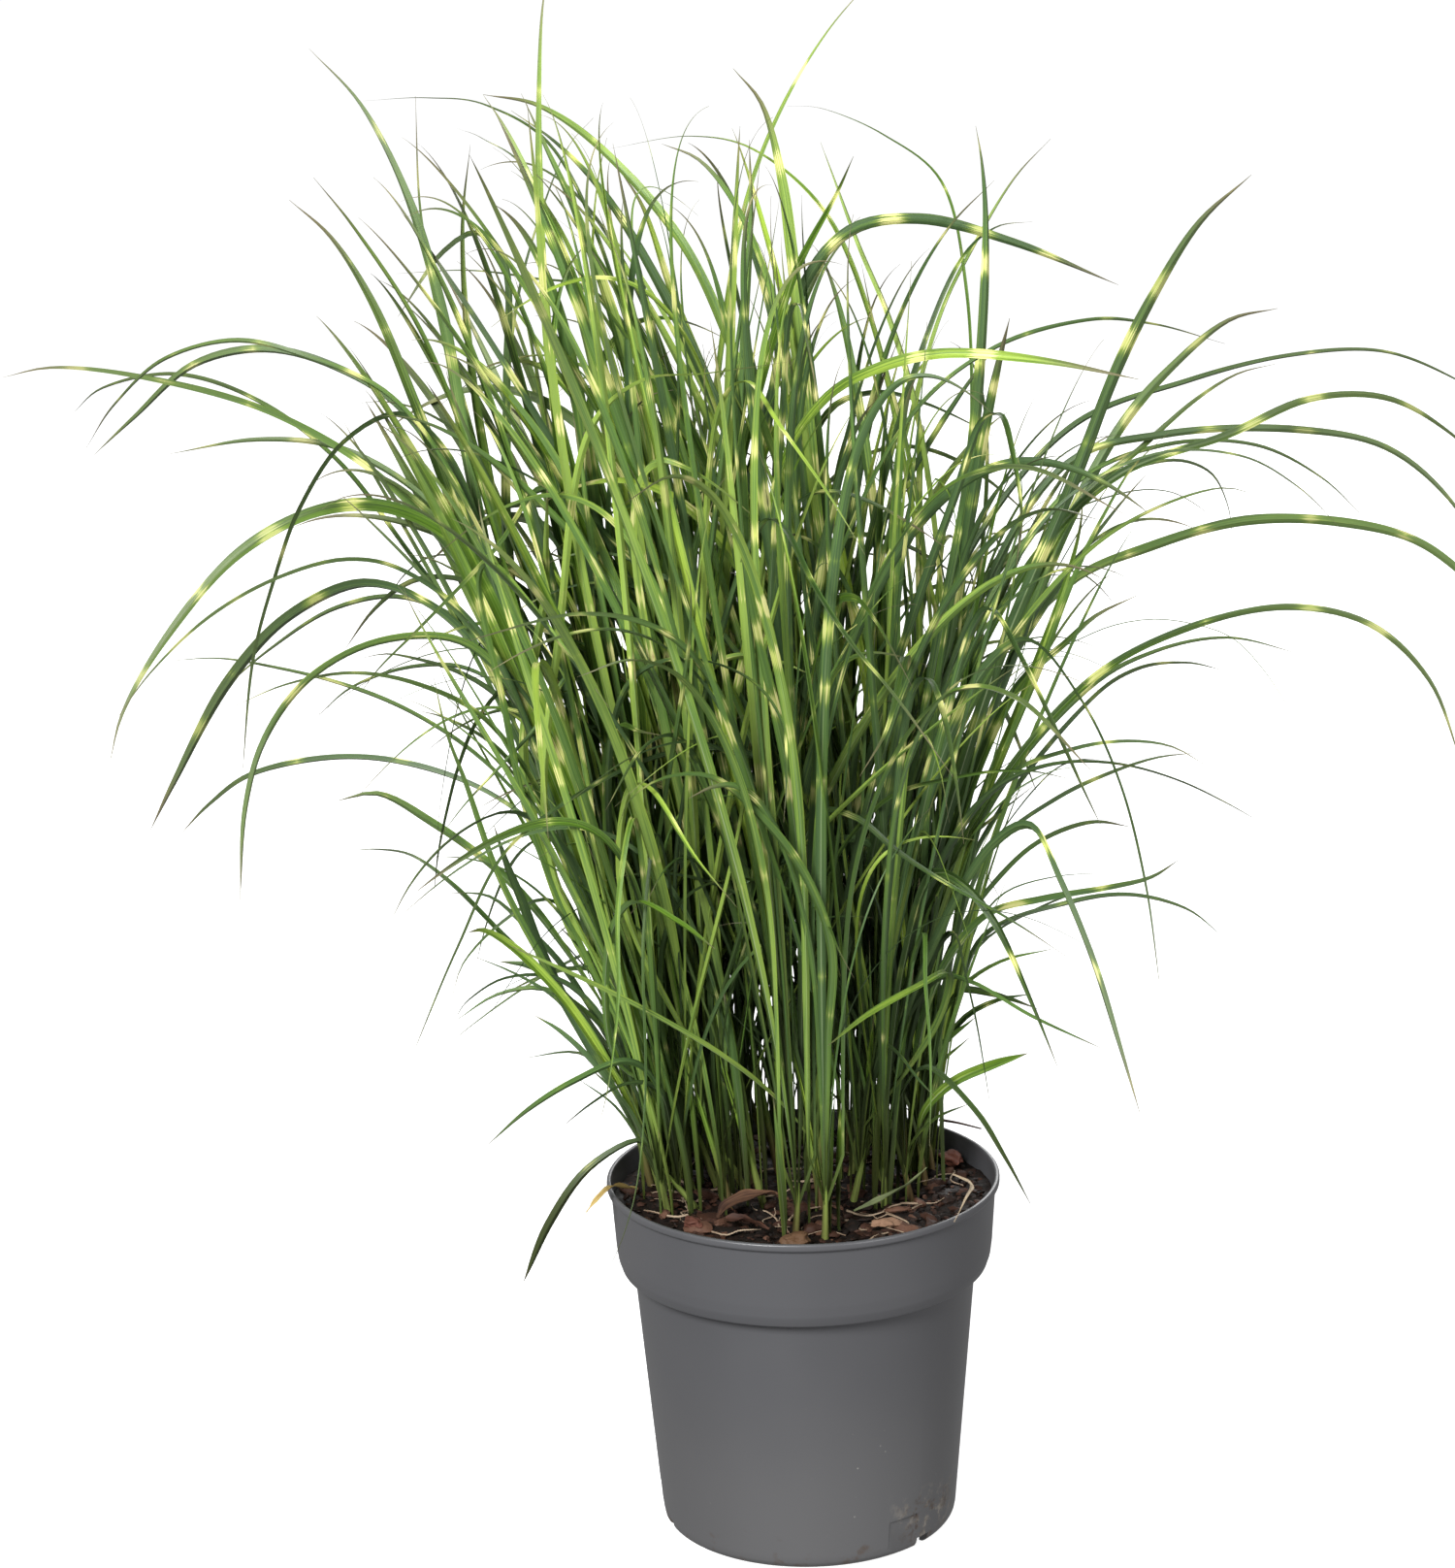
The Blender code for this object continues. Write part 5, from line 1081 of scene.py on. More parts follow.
def shoot(tiller, rng):
    """A young shoot rooted in the mix beside a stem: upright, its foot rolled like a stem."""
    collar = tiller["culm"][1][0]
    for _ in range(TRIES):
        out = heading(rng.uniform(0, 2 * math.pi))
        start = Vector((collar.x, collar.y, 0.0)) + out * rng.uniform(*SHOOT_BESIDE)
        if start.xy.length > SHOOTS_WITHIN:
            continue
        start.z = soil_height(start.x, start.y) - SHOOT_SUNK
        length = rng.uniform(*SHOOT_LENGTH)
        lean = Vector((start.x, start.y, 0.0)) * rng.uniform(*SHOOT_LEAN) + out * rng.gauss(0.0, 0.06)
        lean *= length
        knots = [start + lean * s ** 1.6 + UP * (length * s) for s in (0.0, 0.12, 0.4, 0.7, 1.0)]
        leaf = {"width": rng.uniform(*SHOOT_WIDTH), "path": smooth_path(knots), "out": out,
                "roll": rng.uniform(-1.5, 1.5), "twist": rng.gauss(0.0, 0.8)}
        if clear_of_pot(leaf["path"][4:]) and stays(leaf["path"]):
            return leaf
    return None


def add_stem(body, tiller, rng, hue):
    """The stem: rolled leaf sheaths, oval, a little thicker at the ground, closed above its neck."""
    (foot, radius), _, (neck, _), (top, _) = tiller["culm"]
    tip = top + (top - neck).normalized() * STEM_TIP
    count = max(int((tip - foot).length / STEM_STEP), 6)
    shares = [i / count for i in range(count + 1)]
    radii = [radius * STEM_SHARE * (1.08 - 0.5 * share) * (1 + 0.03 * math.sin(40 * share + 9 * hue))
             for share in shares]
    radii[-1] *= 0.35
    radii[-2] *= 0.8
    add_tube(body, [foot.lerp(tip, share) for share in shares], radii, sides=12, flat=0.8,
             turn=rng.uniform(0, 3), finish=1, seed=rng.random(), hue=hue, band=-BAND_LIMIT / MM)


def add_grass(tillers, materials, low, high):
    """One piece for each tiller: its stem, its own leaves, and finer ones among them."""
    rng = random.Random(SEED + 2)
    read = list(BANDS_AT)
    for number, tiller in enumerate(tillers, 1):
        body = Body("across", "under", "share", "along", "band", "seed", "hue", "wide")
        _, (collar, _), (neck, _), (top, _) = tiller["culm"]
        add_stem(body, tiller, rng, rng.random())
        for order, leaf in enumerate(tiller["leaves"]):
            hue = hue_of(leaf, rng)
            seen = tiller["rows"][order] is not None
            leaf = as_seen(leaf, rng) if seen else dict(leaf, width=leaf["width"] * 0.5)
            before = [neck, top] if order == 0 else [collar.lerp(neck, 0.9), neck]
            add_blade(body, leaf, rng, before, hue, rng.uniform(14, 32), read if seen else [])
        for _ in range(rng.choice(COMPANIONS)):
            leaf = companion(tiller, rng, low, high)
            if leaf:
                add_blade(body, leaf, rng, hue=hue_of(leaf, rng) * 0.85)
        for _ in range(rng.choice(MIDDLE_LEAVES)):
            leaf = middle_leaf(tiller, rng)
            if stays(leaf["path"]) and inside_box(leaf["path"], low, high):
                add_blade(body, leaf, rng, hue=hue_of(leaf, rng), open_fold=rng.uniform(10, 40))
        for _ in range(rng.choice(SHOOTS)):
            leaf = shoot(tiller, rng)
            if leaf:
                add_blade(body, leaf, rng, hue=rng.uniform(0.2, 0.8), open_fold=22)
        body.corners = [np.clip(corners, tuple(low), tuple(high)) for corners in body.corners]
        body.make(f"grass_{number:02d}", materials, replaces=[f"tiller_{number:02d}"])


# --- finishes -------------------------------------------------------------------------------------------

class Graph:
    """A material's nodes, with a short call for each kind that the finishes need."""

    def __init__(self, name, **settings):
        self.material = bpy.data.materials.new(name)
        self.material.use_nodes = True
        self.nodes = self.material.node_tree.nodes
        self.links = self.material.node_tree.links
        self.shader = self.nodes["Principled BSDF"]
        for socket, value in settings.items():
            self.shader.inputs[socket.replace("_", " ")].default_value = value
        self.place = self.nodes.new("ShaderNodeTexCoord").outputs["Object"]

    def put(self, kind, inputs, **settings):
        node = self.nodes.new(kind)
        for key, value in settings.items():
            setattr(node, key, value)
        for socket, value in inputs.items():
            self.feed(node.inputs[socket], value)
        return node

    def feed(self, socket, value):
        if isinstance(value, bpy.types.NodeSocket):
            self.links.new(value, socket)
        elif isinstance(value, tuple) and len(value) == 3 and socket.type == "RGBA":
            socket.default_value = (*value, 1.0)
        else:
            socket.default_value = value

    def value(self, name):
        return self.put("ShaderNodeAttribute", {}, attribute_name=name).outputs["Fac"]

    def math(self, operation, first, second=0.0):
        return self.put("ShaderNodeMath", {0: first, 1: second}, operation=operation).outputs[0]

    def plus(self, first, second):
        return self.math("ADD", first, second)

    def times(self, first, second):
        return self.math("MULTIPLY", first, second)

    def sway(self, value, amount):
        """A noise value moved to either side of 0."""
        return self.times(self.math("SUBTRACT", value, 0.5), amount)

    def draw(self, seed, pace):
        """A further random number from 0 to 1 for each leaf, from the one that it has."""
        return self.math("FRACT", self.times(seed, pace))

    def vector(self, x, y, z):
        return self.put("ShaderNodeCombineXYZ", {0: x, 1: y, 2: z}).outputs[0]

    def parts(self, vector):
        return self.put("ShaderNodeSeparateXYZ", {0: vector}).outputs

    def vector_math(self, operation, first, second=(0.0, 0.0, 0.0)):
        return self.put("ShaderNodeVectorMath", {0: first, 1: second}, operation=operation).outputs["Value"]

    def step(self, value, low, high, to_low=0.0, to_high=1.0):
        node = self.put("ShaderNodeMapRange", {"Value": value, "From Min": low, "From Max": high,
                                               "To Min": to_low, "To Max": to_high},
                        interpolation_type="SMOOTHSTEP")
        return node.outputs["Result"]

    def mix(self, share, first, second):
        node = self.put("ShaderNodeMix", {0: share, 6: first, 7: second}, data_type="RGBA")
        return node.outputs[2]

    def noise(self, vector, scale, detail=2.0, rough=0.5):
        node = self.put("ShaderNodeTexNoise", {"Vector": vector, "Scale": scale, "Detail": detail,
                                               "Roughness": rough})
        return node.outputs["Fac"]

    def cells(self, vector, scale):
        return self.put("ShaderNodeTexVoronoi", {"Vector": vector, "Scale": scale}).outputs["Distance"]

    def finish(self, colour, roughness, height=None, strength=0.3, distance=0.0005):
        self.feed(self.shader.inputs["Base Color"], colour)
        self.feed(self.shader.inputs["Roughness"], roughness)
        if height is not None:
            bump = self.put("ShaderNodeBump", {"Height": height, "Strength": strength,
                                               "Distance": distance})
            self.feed(self.shader.inputs["Normal"], bump.outputs["Normal"])
        return self.material


# Colours are linear red, green and blue
LEAF_DEEP, LEAF_GREEN, LEAF_LIME = (0.016, 0.045, 0.007), (0.078, 0.165, 0.012), (0.320, 0.455, 0.055)
# The third of these, the midrib's pale, is partly a painted highlight.
VEIN_PALE, VEIN_DARK, RIB_PALE_AND_HIGHLIGHT = (0.240, 0.350, 0.060), (0.014, 0.036, 0.010), (0.450, 0.540, 0.330)
LEAF_UNDER = (0.150, 0.250, 0.120)
BAND_FEATHER, BAND_LIME, BAND_CREAM = (0.260, 0.370, 0.055), (0.560, 0.620, 0.140), (0.860, 0.800, 0.360)
BAND_BURNT = (0.330, 0.180, 0.080)
# The first of these is painted shade deep inside the clump.
PAINTED_INNER_SHADE, GROUND_DARK = (0.012, 0.020, 0.007), (0.026, 0.028, 0.007)
END_GREY, TIP_DRY, FOOT_PALE = (0.105, 0.130, 0.055), (0.150, 0.125, 0.075), (0.200, 0.300, 0.070)
STEM_DEEP, STEM_GREEN = (0.040, 0.090, 0.010), (0.170, 0.280, 0.035)
STEM_STRAW, STEM_RUDDY = (0.260, 0.290, 0.100), (0.075, 0.038, 0.020)
POT_GREYS = (0.079, 0.080, 0.086), (0.091, 0.091, 0.096)
# The second of these is a painted reflection of the white floor.
POT_DRAWN, POT_PAINTED_REFLECTION, POT_DUST = (0.070, 0.070, 0.075), (0.120, 0.119, 0.119), (0.330, 0.320, 0.300)
POT_SOILED = (0.075, 0.052, 0.038)
SMEARS = (0.060, 0.040, 0.028), (0.260, 0.235, 0.200)
SMEAR_TOWARDS = (0.79, -0.61, 0.0)
SOIL_COLOURS = (0.006, 0.004, 0.003), (0.042, 0.018, 0.011), (0.120, 0.060, 0.038)
ROOT_COLOURS = (0.130, 0.075, 0.045), (0.480, 0.380, 0.270)


def blade_finish():
    """Green with cream bands feathered along the veins, a pale midrib partly painted as a highlight, a dry
    tip, and painted shade.
    """
    g = Graph("grass_blade", Specular_IOR_Level=0.24)
    across, along, seed, share = (g.value(name) for name in ("across", "along", "seed", "share"))
    far = g.times(seed, 97.0)

    def along_veins(side, pace, detail=2.0):
        return g.noise(g.vector(side, g.times(along, pace), far), 1.0, detail)

    streaks = along_veins(g.times(across, 4.5), 14.0)
    veins = along_veins(g.times(across, 11.0), 6.0)
    half = along_veins(g.times(g.math("SIGN", across), 3.3), 11.0)
    patches = along_veins(across, 14.0, 3.0)

    # The sway by half is painted shade of the fold: one half of each blade lighter, the other darker
    tone = g.plus(g.plus(g.value("hue"), g.sway(patches, 0.5)), g.sway(half, 0.9))
    tone = g.plus(tone, g.sway(streaks, 1.1))
    colour = g.mix(g.step(tone, 0.0, 0.5), LEAF_DEEP, LEAF_GREEN)
    colour = g.mix(g.step(tone, 0.5, 1.0), colour, LEAF_LIME)
    colour = g.mix(g.step(veins, 0.45, 0.75, 0.0, 0.42), colour, VEIN_PALE)
    colour = g.mix(g.step(veins, 0.45, 0.30, 0.0, 0.35), colour, VEIN_DARK)
    colour = g.mix(g.times(g.value("under"), 0.30), colour, LEAF_UNDER)
    # The pale midrib that the leaf has, made stronger as a painted highlight along it
    rib = g.math("SUBTRACT", 1.0, g.step(g.math("ABSOLUTE", across), 0.03, 0.13))
    rib = g.times(rib, g.step(g.value("wide"), 0.30, 0.65, 0.0, 0.75))
    rib = g.times(rib, g.step(g.draw(seed, 7.0), 0.2, 0.9))
    rib = g.times(rib, g.step(share, 0.75, 0.25))
    colour = g.mix(rib, colour, RIB_PALE_AND_HIGHLIGHT)

    # The bands: their edges feathered, their cream patchy, and here and there a burnt spot in them
    edge = g.plus(g.plus(g.value("band"), g.sway(streaks, 20.0)), g.sway(half, 10.0))
    strong = g.step(along_veins(2.0, 16.0), 0.35, 0.6, 0.55, 1.0)
    strong = g.times(strong, g.step(veins, 0.2, 0.5, 0.6, 0.95))
    cream = g.mix(g.step(streaks, 0.35, 0.65), BAND_LIME, BAND_CREAM)
    colour = g.mix(g.step(edge, -5.0, 1.5, 0.0, 0.6), colour, BAND_FEATHER)
    colour = g.mix(g.times(g.step(edge, -0.5, 3.5), strong), colour, cream)
    spots = g.step(along_veins(across, 60.0, 3.0), 0.66, 0.78)
    colour = g.mix(g.times(spots, g.step(edge, 0.0, 4.0, 0.0, 0.6)), colour, BAND_BURNT)

    # Painted shade within the clump; darker towards the ground, greyed far out, dry at the tip and pale at
    # the foot
    x, y, z = g.parts(g.place)
    radius = g.vector_math("LENGTH", g.vector(x, y, 0.0))
    # Painted shade: darkest near the axis and low down, where the leaves shade each other
    inner = g.step(g.math("SUBTRACT", radius, g.times(z, 0.25)), 0.040, -0.015)
    inner = g.times(inner, g.step(z, 0.62, 0.32, 0.0, 0.8))
    inner = g.times(inner, g.step(g.draw(seed, 3.0), 0.25, 0.65, 0.25, 1.0))
    colour = g.mix(inner, colour, PAINTED_INNER_SHADE)
    greyed = g.times(g.step(share, 0.45, 0.95, 0.0, 0.6), g.step(radius, 0.13, 0.26))
    colour = g.mix(greyed, colour, END_GREY)
    tip = g.step(g.plus(share, g.times(seed, 0.05)), 0.93, 1.02, 0.0, 0.85)
    colour = g.mix(tip, colour, TIP_DRY)
    colour = g.mix(g.step(share, 0.10, 0.0, 0.0, 0.3), colour, FOOT_PALE)
    ground = g.step(g.plus(z, g.sway(streaks, 0.03)), 0.300, 0.212, 0.0, 0.8)
    colour = g.mix(ground, colour, GROUND_DARK)
    return g.finish(colour, g.step(patches, 0.2, 0.8, 0.34, 0.50), veins, 0.35, 0.0003)


def stem_finish():
    """Rolled sheaths: fresh green above, straw, brown and a little purple at the ground."""
    g = Graph("grass_stem", Specular_IOR_Level=0.2)
    across, along, seed = (g.value(name) for name in ("across", "along", "seed"))
    lines = g.vector(g.times(across, 6.0), g.times(along, 9.0), g.times(seed, 71.0))
    lines = g.noise(lines, 1.0, 3.0)
    colour = g.mix(g.step(lines, 0.3, 0.7), STEM_DEEP, STEM_GREEN)
    low = g.plus(along, g.sway(lines, 0.03))
    colour = g.mix(g.step(low, 0.070, 0.022, 0.0, 0.35), colour, STEM_STRAW)
    ruddy = g.times(g.step(low, 0.060, 0.016), g.step(g.draw(seed, 5.0), 0.2, 0.8, 0.3, 0.9))
    colour = g.mix(ruddy, colour, STEM_RUDDY)
    return g.finish(colour, g.step(lines, 0.2, 0.8, 0.4, 0.6), lines, 0.4, 0.0004)


def pot_finish():
    """Grey moulded plastic: faint mottling, dust, soil dried on round the foot, and a painted reflection of
    the floor towards the bottom.
    """
    g = Graph("pot_plastic", Specular_IOR_Level=0.5)
    broad = g.noise(g.place, 7.0, 3.0)
    drawn = g.put("ShaderNodeMapping", {"Vector": g.place, "Scale": (13.0, 13.0, 2.0)})
    drawn = g.noise(drawn.outputs["Vector"], 1.0, 1.0)
    height = g.parts(g.place)["Z"]
    colour = g.mix(g.step(broad, 0.3, 0.7), *POT_GREYS)
    colour = g.mix(g.step(drawn, 0.35, 0.65, 0.0, 0.5), colour, POT_DRAWN)
    # A painted reflection of the white floor: lighter towards the bottom
    colour = g.mix(g.step(height, 0.15, 0.02, 0.0, 0.45), colour, POT_PAINTED_REFLECTION)
    dust = g.step(g.cells(g.place, 120.0), 0.085, 0.045)
    dust = g.times(dust, g.step(g.noise(g.place, 14.0, 2.0), 0.55, 0.7, 0.0, 0.5))
    colour = g.mix(dust, colour, POT_DUST)
    grime = g.noise(g.place, 60.0, 4.0, 0.65)
    soiled = g.plus(grime, g.times(height, -9.0))
    colour = g.mix(g.step(soiled, 0.44, 0.62, 0.0, 0.75), colour, POT_SOILED)
    beside = g.step(g.vector_math("DOT_PRODUCT", g.place, SMEAR_TOWARDS), 0.0815, 0.0885)
    smear = g.times(g.times(beside, g.step(height, 0.045, 0.02)),
                    g.step(g.noise(g.place, 130.0, 4.0, 0.7), 0.48, 0.60, 0.0, 0.9))
    colour = g.mix(smear, colour, g.mix(g.step(grime, 0.4, 0.6), *SMEARS))
    roughness = g.plus(g.step(broad, 0.25, 0.75, 0.33, 0.42), g.times(dust, 0.3))
    return g.finish(colour, roughness, g.noise(g.place, 900.0, 2.0), 0.06, 0.0002)


def crumb_finish(name, dark, warm, pale, roughness=0.85):
    """Bark and peat: each crumb has its own tint, with grain along its fibres."""
    g = Graph(name, Specular_IOR_Level=0.2)
    tint = g.value("seed")
    grain = g.noise(g.place, 420.0, 4.0, 0.65)
    colour = g.mix(g.step(tint, 0.25, 0.8), dark, warm)
    colour = g.mix(g.step(tint, 0.86, 0.96, 0.0, 0.8), colour, pale)
    colour = g.mix(g.step(grain, 0.45, 0.75, 0.0, 0.45), colour, warm)
    wet = g.step(g.noise(g.place, 90.0, 2.0), 0.3, 0.7, roughness - 0.35, roughness)
    return g.finish(colour, wet, grain, 0.8, 0.0008)


def dry_finish(name, dark, pale):
    """A dead leaf or bare root: pale and dark fibres along it."""
    g = Graph(name, Specular_IOR_Level=0.25)
    fibres = g.vector(g.times(g.value("across"), 7.0), g.times(g.value("along"), 30.0),
                      g.times(g.value("seed"), 50.0))
    fibres = g.noise(fibres, 1.0, 3.0)
    blotches = g.noise(g.place, 80.0, 3.0)
    colour = g.mix(g.step(fibres, 0.3, 0.7), dark, pale)
    colour = g.mix(g.step(blotches, 0.55, 0.75, 0.0, 0.6), colour, dark)
    return g.finish(colour, g.step(fibres, 0.2, 0.8, 0.6, 0.8), fibres, 0.6, 0.0004)


# --- the pot --------------------------------------------------------------------------------------------

# The pot's measures, in mm, as in the solids
RIM_RADIUS = 115
POT_HEIGHT = 211.5
LIP = 4.0
COLLAR_BOTTOM = 159.1
COLLAR_RADIUS = 107.4
SHOULDER = COLLAR_BOTTOM + 13.0  # where the collar's curve goes over into its upright side
SHOULDER_RADIUS = 110.3
BODY_TOP_RADIUS = 100.5
BODY_FOOT_RADIUS = 87.4
FOOT_TOP = 7.5  # where the foot's rounding goes over into the tapered body
FOOT_RADIUS = 80.2
BASE_UNDER = 8.0
BASE_OVER = 10.0
WALL = 1.7
POT_SIDES = 160
DRAIN_AT = (49.0, -71.0, 169.0)  # degrees to the right of the front
DRAIN_WIDE = 10.5
DRAIN_HIGH = 7.1
PANEL_TURN = -11.0  # from a gap's middle to its panel's
PANEL_WIDE = 21.0
PANEL_LOW = 0.9
PANEL_HIGH = 24.0
PANEL_DEEP = 0.9

OUTSIDE = [(FOOT_RADIUS, 0.0), (82.4, 0.0), (85.2, 1.7), (86.8, 4.2), (BODY_FOOT_RADIUS, FOOT_TOP),
           (BODY_TOP_RADIUS, COLLAR_BOTTOM), (COLLAR_RADIUS, COLLAR_BOTTOM),
           (COLLAR_RADIUS + 2.0, COLLAR_BOTTOM + 6.0), (SHOULDER_RADIUS, SHOULDER),
           (112.6, POT_HEIGHT - LIP - 1.5), (RIM_RADIUS, POT_HEIGHT - LIP),
           (RIM_RADIUS, POT_HEIGHT - 0.8), (RIM_RADIUS - 0.8, POT_HEIGHT), (RIM_RADIUS - 2.2, POT_HEIGHT)]
INSIDE = [(RIM_RADIUS - 2.9, POT_HEIGHT - 0.9), (SHOULDER_RADIUS - WALL - 0.2, SHOULDER),
          (COLLAR_RADIUS - WALL, COLLAR_BOTTOM + 1.5), (BODY_TOP_RADIUS - WALL, COLLAR_BOTTOM - 3.0),
          (BODY_FOOT_RADIUS - WALL, BASE_OVER)]


def rounded(points, radius=1.0):
    """The outline in mm with its corners cut back and eased."""
    eased = [points[0]]
    for before, here, after in zip(points, points[1:], points[2:]):
        here, before, after = Vector(here), Vector(before), Vector(after)
        into = min(radius, (here - before).length * 0.4)
        out = min(radius, (after - here).length * 0.4)
        a = here + (before - here).normalized() * into
        b = here + (after - here).normalized() * out
        for t in (0.0, 0.25, 0.5, 0.75, 1.0):
            eased.append(tuple(a * (1 - t) ** 2 + here * 2 * t * (1 - t) + b * t ** 2))
    return eased + [points[-1]]


def box_at(turn, inner, outer, wide, low, high, lean=0.0):
    """A block on the pot's wall, so far round from the front, its inner top edge leaning outwards."""
    angle = math.radians(turn)
    ahead = Vector((math.sin(angle), -math.cos(angle), 0.0))
    side = heading(angle)
    corners = [(ahead * (r + lean * (z > low and r == inner)) + side * w + UP * z) * MM
               for z in (low, high) for r, w in ((inner, -wide / 2), (outer, -wide / 2),
                                                 (outer, wide / 2), (inner, wide / 2))]
    return corners, [(3, 2, 1, 0), (4, 5, 6, 7)] + wall_faces(2, 4)


def turned(outline, sides):
    """Radii and heights in mm turned round the Z axis, with single points on it.

    A height may also be a function of the place, which gives it in metres.
    """
    corners, faces, rows = [], [], []
    for radius, height in outline:
        count = sides if radius else 1
        rows.append(range(len(corners), len(corners) + count))
        for k in range(count):
            angle = 2 * math.pi * k / sides
            x, y = radius * MM * math.sin(angle), -radius * MM * math.cos(angle)
            corners.append((x, y, height(x, y) if callable(height) else height * MM))
    for lower, upper in zip(rows, rows[1:]):
        for k in range(sides):
            n = (k + 1) % sides
            if len(lower) > 1 and len(upper) > 1:
                faces.append((lower[k], lower[n], upper[n], upper[k]))
            elif len(lower) > 1:
                faces.append((lower[k], lower[n], upper[0]))
            elif len(upper) > 1:
                faces.append((lower[0], upper[n], upper[k]))
    return corners, faces


def plain(name, corners, faces):
    mesh = bpy.data.meshes.new(name)
    mesh.from_pydata(corners, [], faces)
    return mesh


def add_pot():
    """The turned pot, with its drainage gaps and their sunk panels cut out of its foot."""
    base = rounded([(0.0, BASE_UNDER), (FOOT_RADIUS + 0.4, BASE_UNDER), (FOOT_RADIUS, 0.0)])
    corners, faces = turned(rounded(OUTSIDE + INSIDE + [(0.0, BASE_OVER)]) + base, POT_SIDES)
    mesh = plain("nursery_pot", corners, faces)
    shape = bmesh.new()
    shape.from_mesh(mesh)
    bmesh.ops.remove_doubles(shape, verts=shape.verts[:], dist=1e-6)
    bmesh.ops.recalc_face_normals(shape, faces=shape.faces[:])
    shape.to_mesh(mesh)
    shape.free()
    cutters = Body()
    taper = (BODY_TOP_RADIUS - BODY_FOOT_RADIUS) / (COLLAR_BOTTOM - FOOT_TOP)
    sunk = BODY_FOOT_RADIUS * math.cos(math.radians(7)) - PANEL_DEEP + 0.35
    for turn in DRAIN_AT:
        cutters.add(*box_at(turn, 70, 95, DRAIN_WIDE, -5, DRAIN_HIGH))
        cutters.add(*box_at(turn + PANEL_TURN, sunk, 100, PANEL_WIDE, PANEL_LOW, PANEL_HIGH,
                            (PANEL_HIGH - FOOT_TOP) * taper))
    block = plain("drain_blocks", np.concatenate(cutters.corners), cutters.faces)
    pot, cutter = (bpy.data.objects.new(piece.name, piece) for piece in (mesh, block))
    for piece in (pot, cutter):
        bpy.context.scene.collection.objects.link(piece)
    carve = pot.modifiers.new("drains", "BOOLEAN")
    carve.operation, carve.solver, carve.object = "DIFFERENCE", "EXACT", cutter
    carved = bpy.data.meshes.new_from_object(pot.evaluated_get(bpy.context.evaluated_depsgraph_get()))
    for piece in (pot, cutter):
        bpy.data.objects.remove(piece)
    carved.shade_smooth()
    carved.set_sharp_from_angle(angle=math.radians(32))
    carved.materials.append(pot_finish())
    return stand(bpy.data.objects.new("nursery_pot", carved), ["pot"])


# --- the potting mix ------------------------------------------------------------------------------------

SOIL_SECTORS = 200
SOIL_RINGS = 50
SOIL_CLEAR = 0.4  # mm, from the pot's inside
CRUMBS = 1500
CRUMB_SIZE = (1.45, 0.6)  # the middle and spread of the logarithm of a crumb's length in mm
CRUMB_LONGEST = 17.0
CRUMBS_REACH = 105
FINE_CRUMB = 4.5  # mm, a shorter one has fewer faces
STRAWS = 48
STRAWS_REACH = 94
STRAW_STEP = (0.004, 0.011)
ROOT_THICK = (0.3, 0.8)
# Two bare roots where the photograph shows them: (across, back) in cm
ROOTS = (
    ((6.3, -3.1), (7.0, -1.9), (7.7, -1.8), (8.5, -0.8)),
    ((-7.6, 0.3), (-7.0, -0.6), (-6.7, -3.0)),
)


def soil_height(x, y):
    """The mix's level: a slight mound with low waves, as in the solids."""
    waves = (1.6 * math.sin(61 * x + 1.3) * math.cos(47 * y) + 1.1 * math.sin(113 * y + 95 * x)
             + 0.8 * math.cos(171 * x - 60 * y + 0.7))
    return SOIL_TOP + waves * MM


def lumpy(x, y):
    """The mix's surface with its grain."""
    grain = noise.fractal(Vector((x, y, 0.0)) * 160, 1.0, 2.1, 4)
    return soil_height(x, y) + grain * 1.5 * MM - 0.6 * MM


def inner_radius(height):
    """The pot's inside radius at a height, both in mm."""
    inside = INSIDE[::-1]
    for (r0, z0), (r1, z1) in zip(inside, inside[1:]):
        if z0 <= height <= z1:
            return r0 + (r1 - r0) * (height - z0) / (z1 - z0)
    return inside[-1][0]


def add_soil(finish):
    """The mix: its lumpy top, and its sides and bottom along the pot's inside."""
    edge = inner_radius(SOIL_TOP / MM) - SOIL_CLEAR
    top = [(edge * (i / SOIL_RINGS) ** 0.85, lumpy) for i in range(SOIL_RINGS + 1)]
    bottom = BASE_OVER + 0.3
    levels = (SHOULDER, COLLAR_BOTTOM + 2.0, COLLAR_BOTTOM - 3.2, bottom)
    sides = [(inner_radius(height) - SOIL_CLEAR, height) for height in levels]
    corners, faces = turned(top + sides + [(0.0, bottom)], SOIL_SECTORS)
    body = Body("seed")
    body.add(corners, [face[::-1] for face in faces], seed=0.3)
    return body.make("soil", [finish], sharp=80, replaces=["potting_mix"])


def lump(rng, size, level=1):
    """A crumb's corners and faces: an uneven ball pressed flat, its size given in mm."""
    ball = bmesh.new()
    bmesh.ops.create_icosphere(ball, subdivisions=level, radius=0.5)
    shift = Vector((rng.uniform(0, 50), rng.uniform(0, 50), rng.uniform(0, 50)))
    corners = []
    for vertex in ball.verts:
        point = vertex.co * (1 + 0.55 * noise.noise(vertex.co * 2.6 + shift))
        corners.append(point * Vector(size) * MM)
    faces = [tuple(vertex.index for vertex in face.verts) for face in ball.faces]
    ball.free()
    return corners, faces


def strewn(rng, reach):
    """A random place on the mix, as far out as reach at most."""
    radius = reach * math.sqrt(rng.random())
    return heading(rng.uniform(0, 2 * math.pi)) * radius


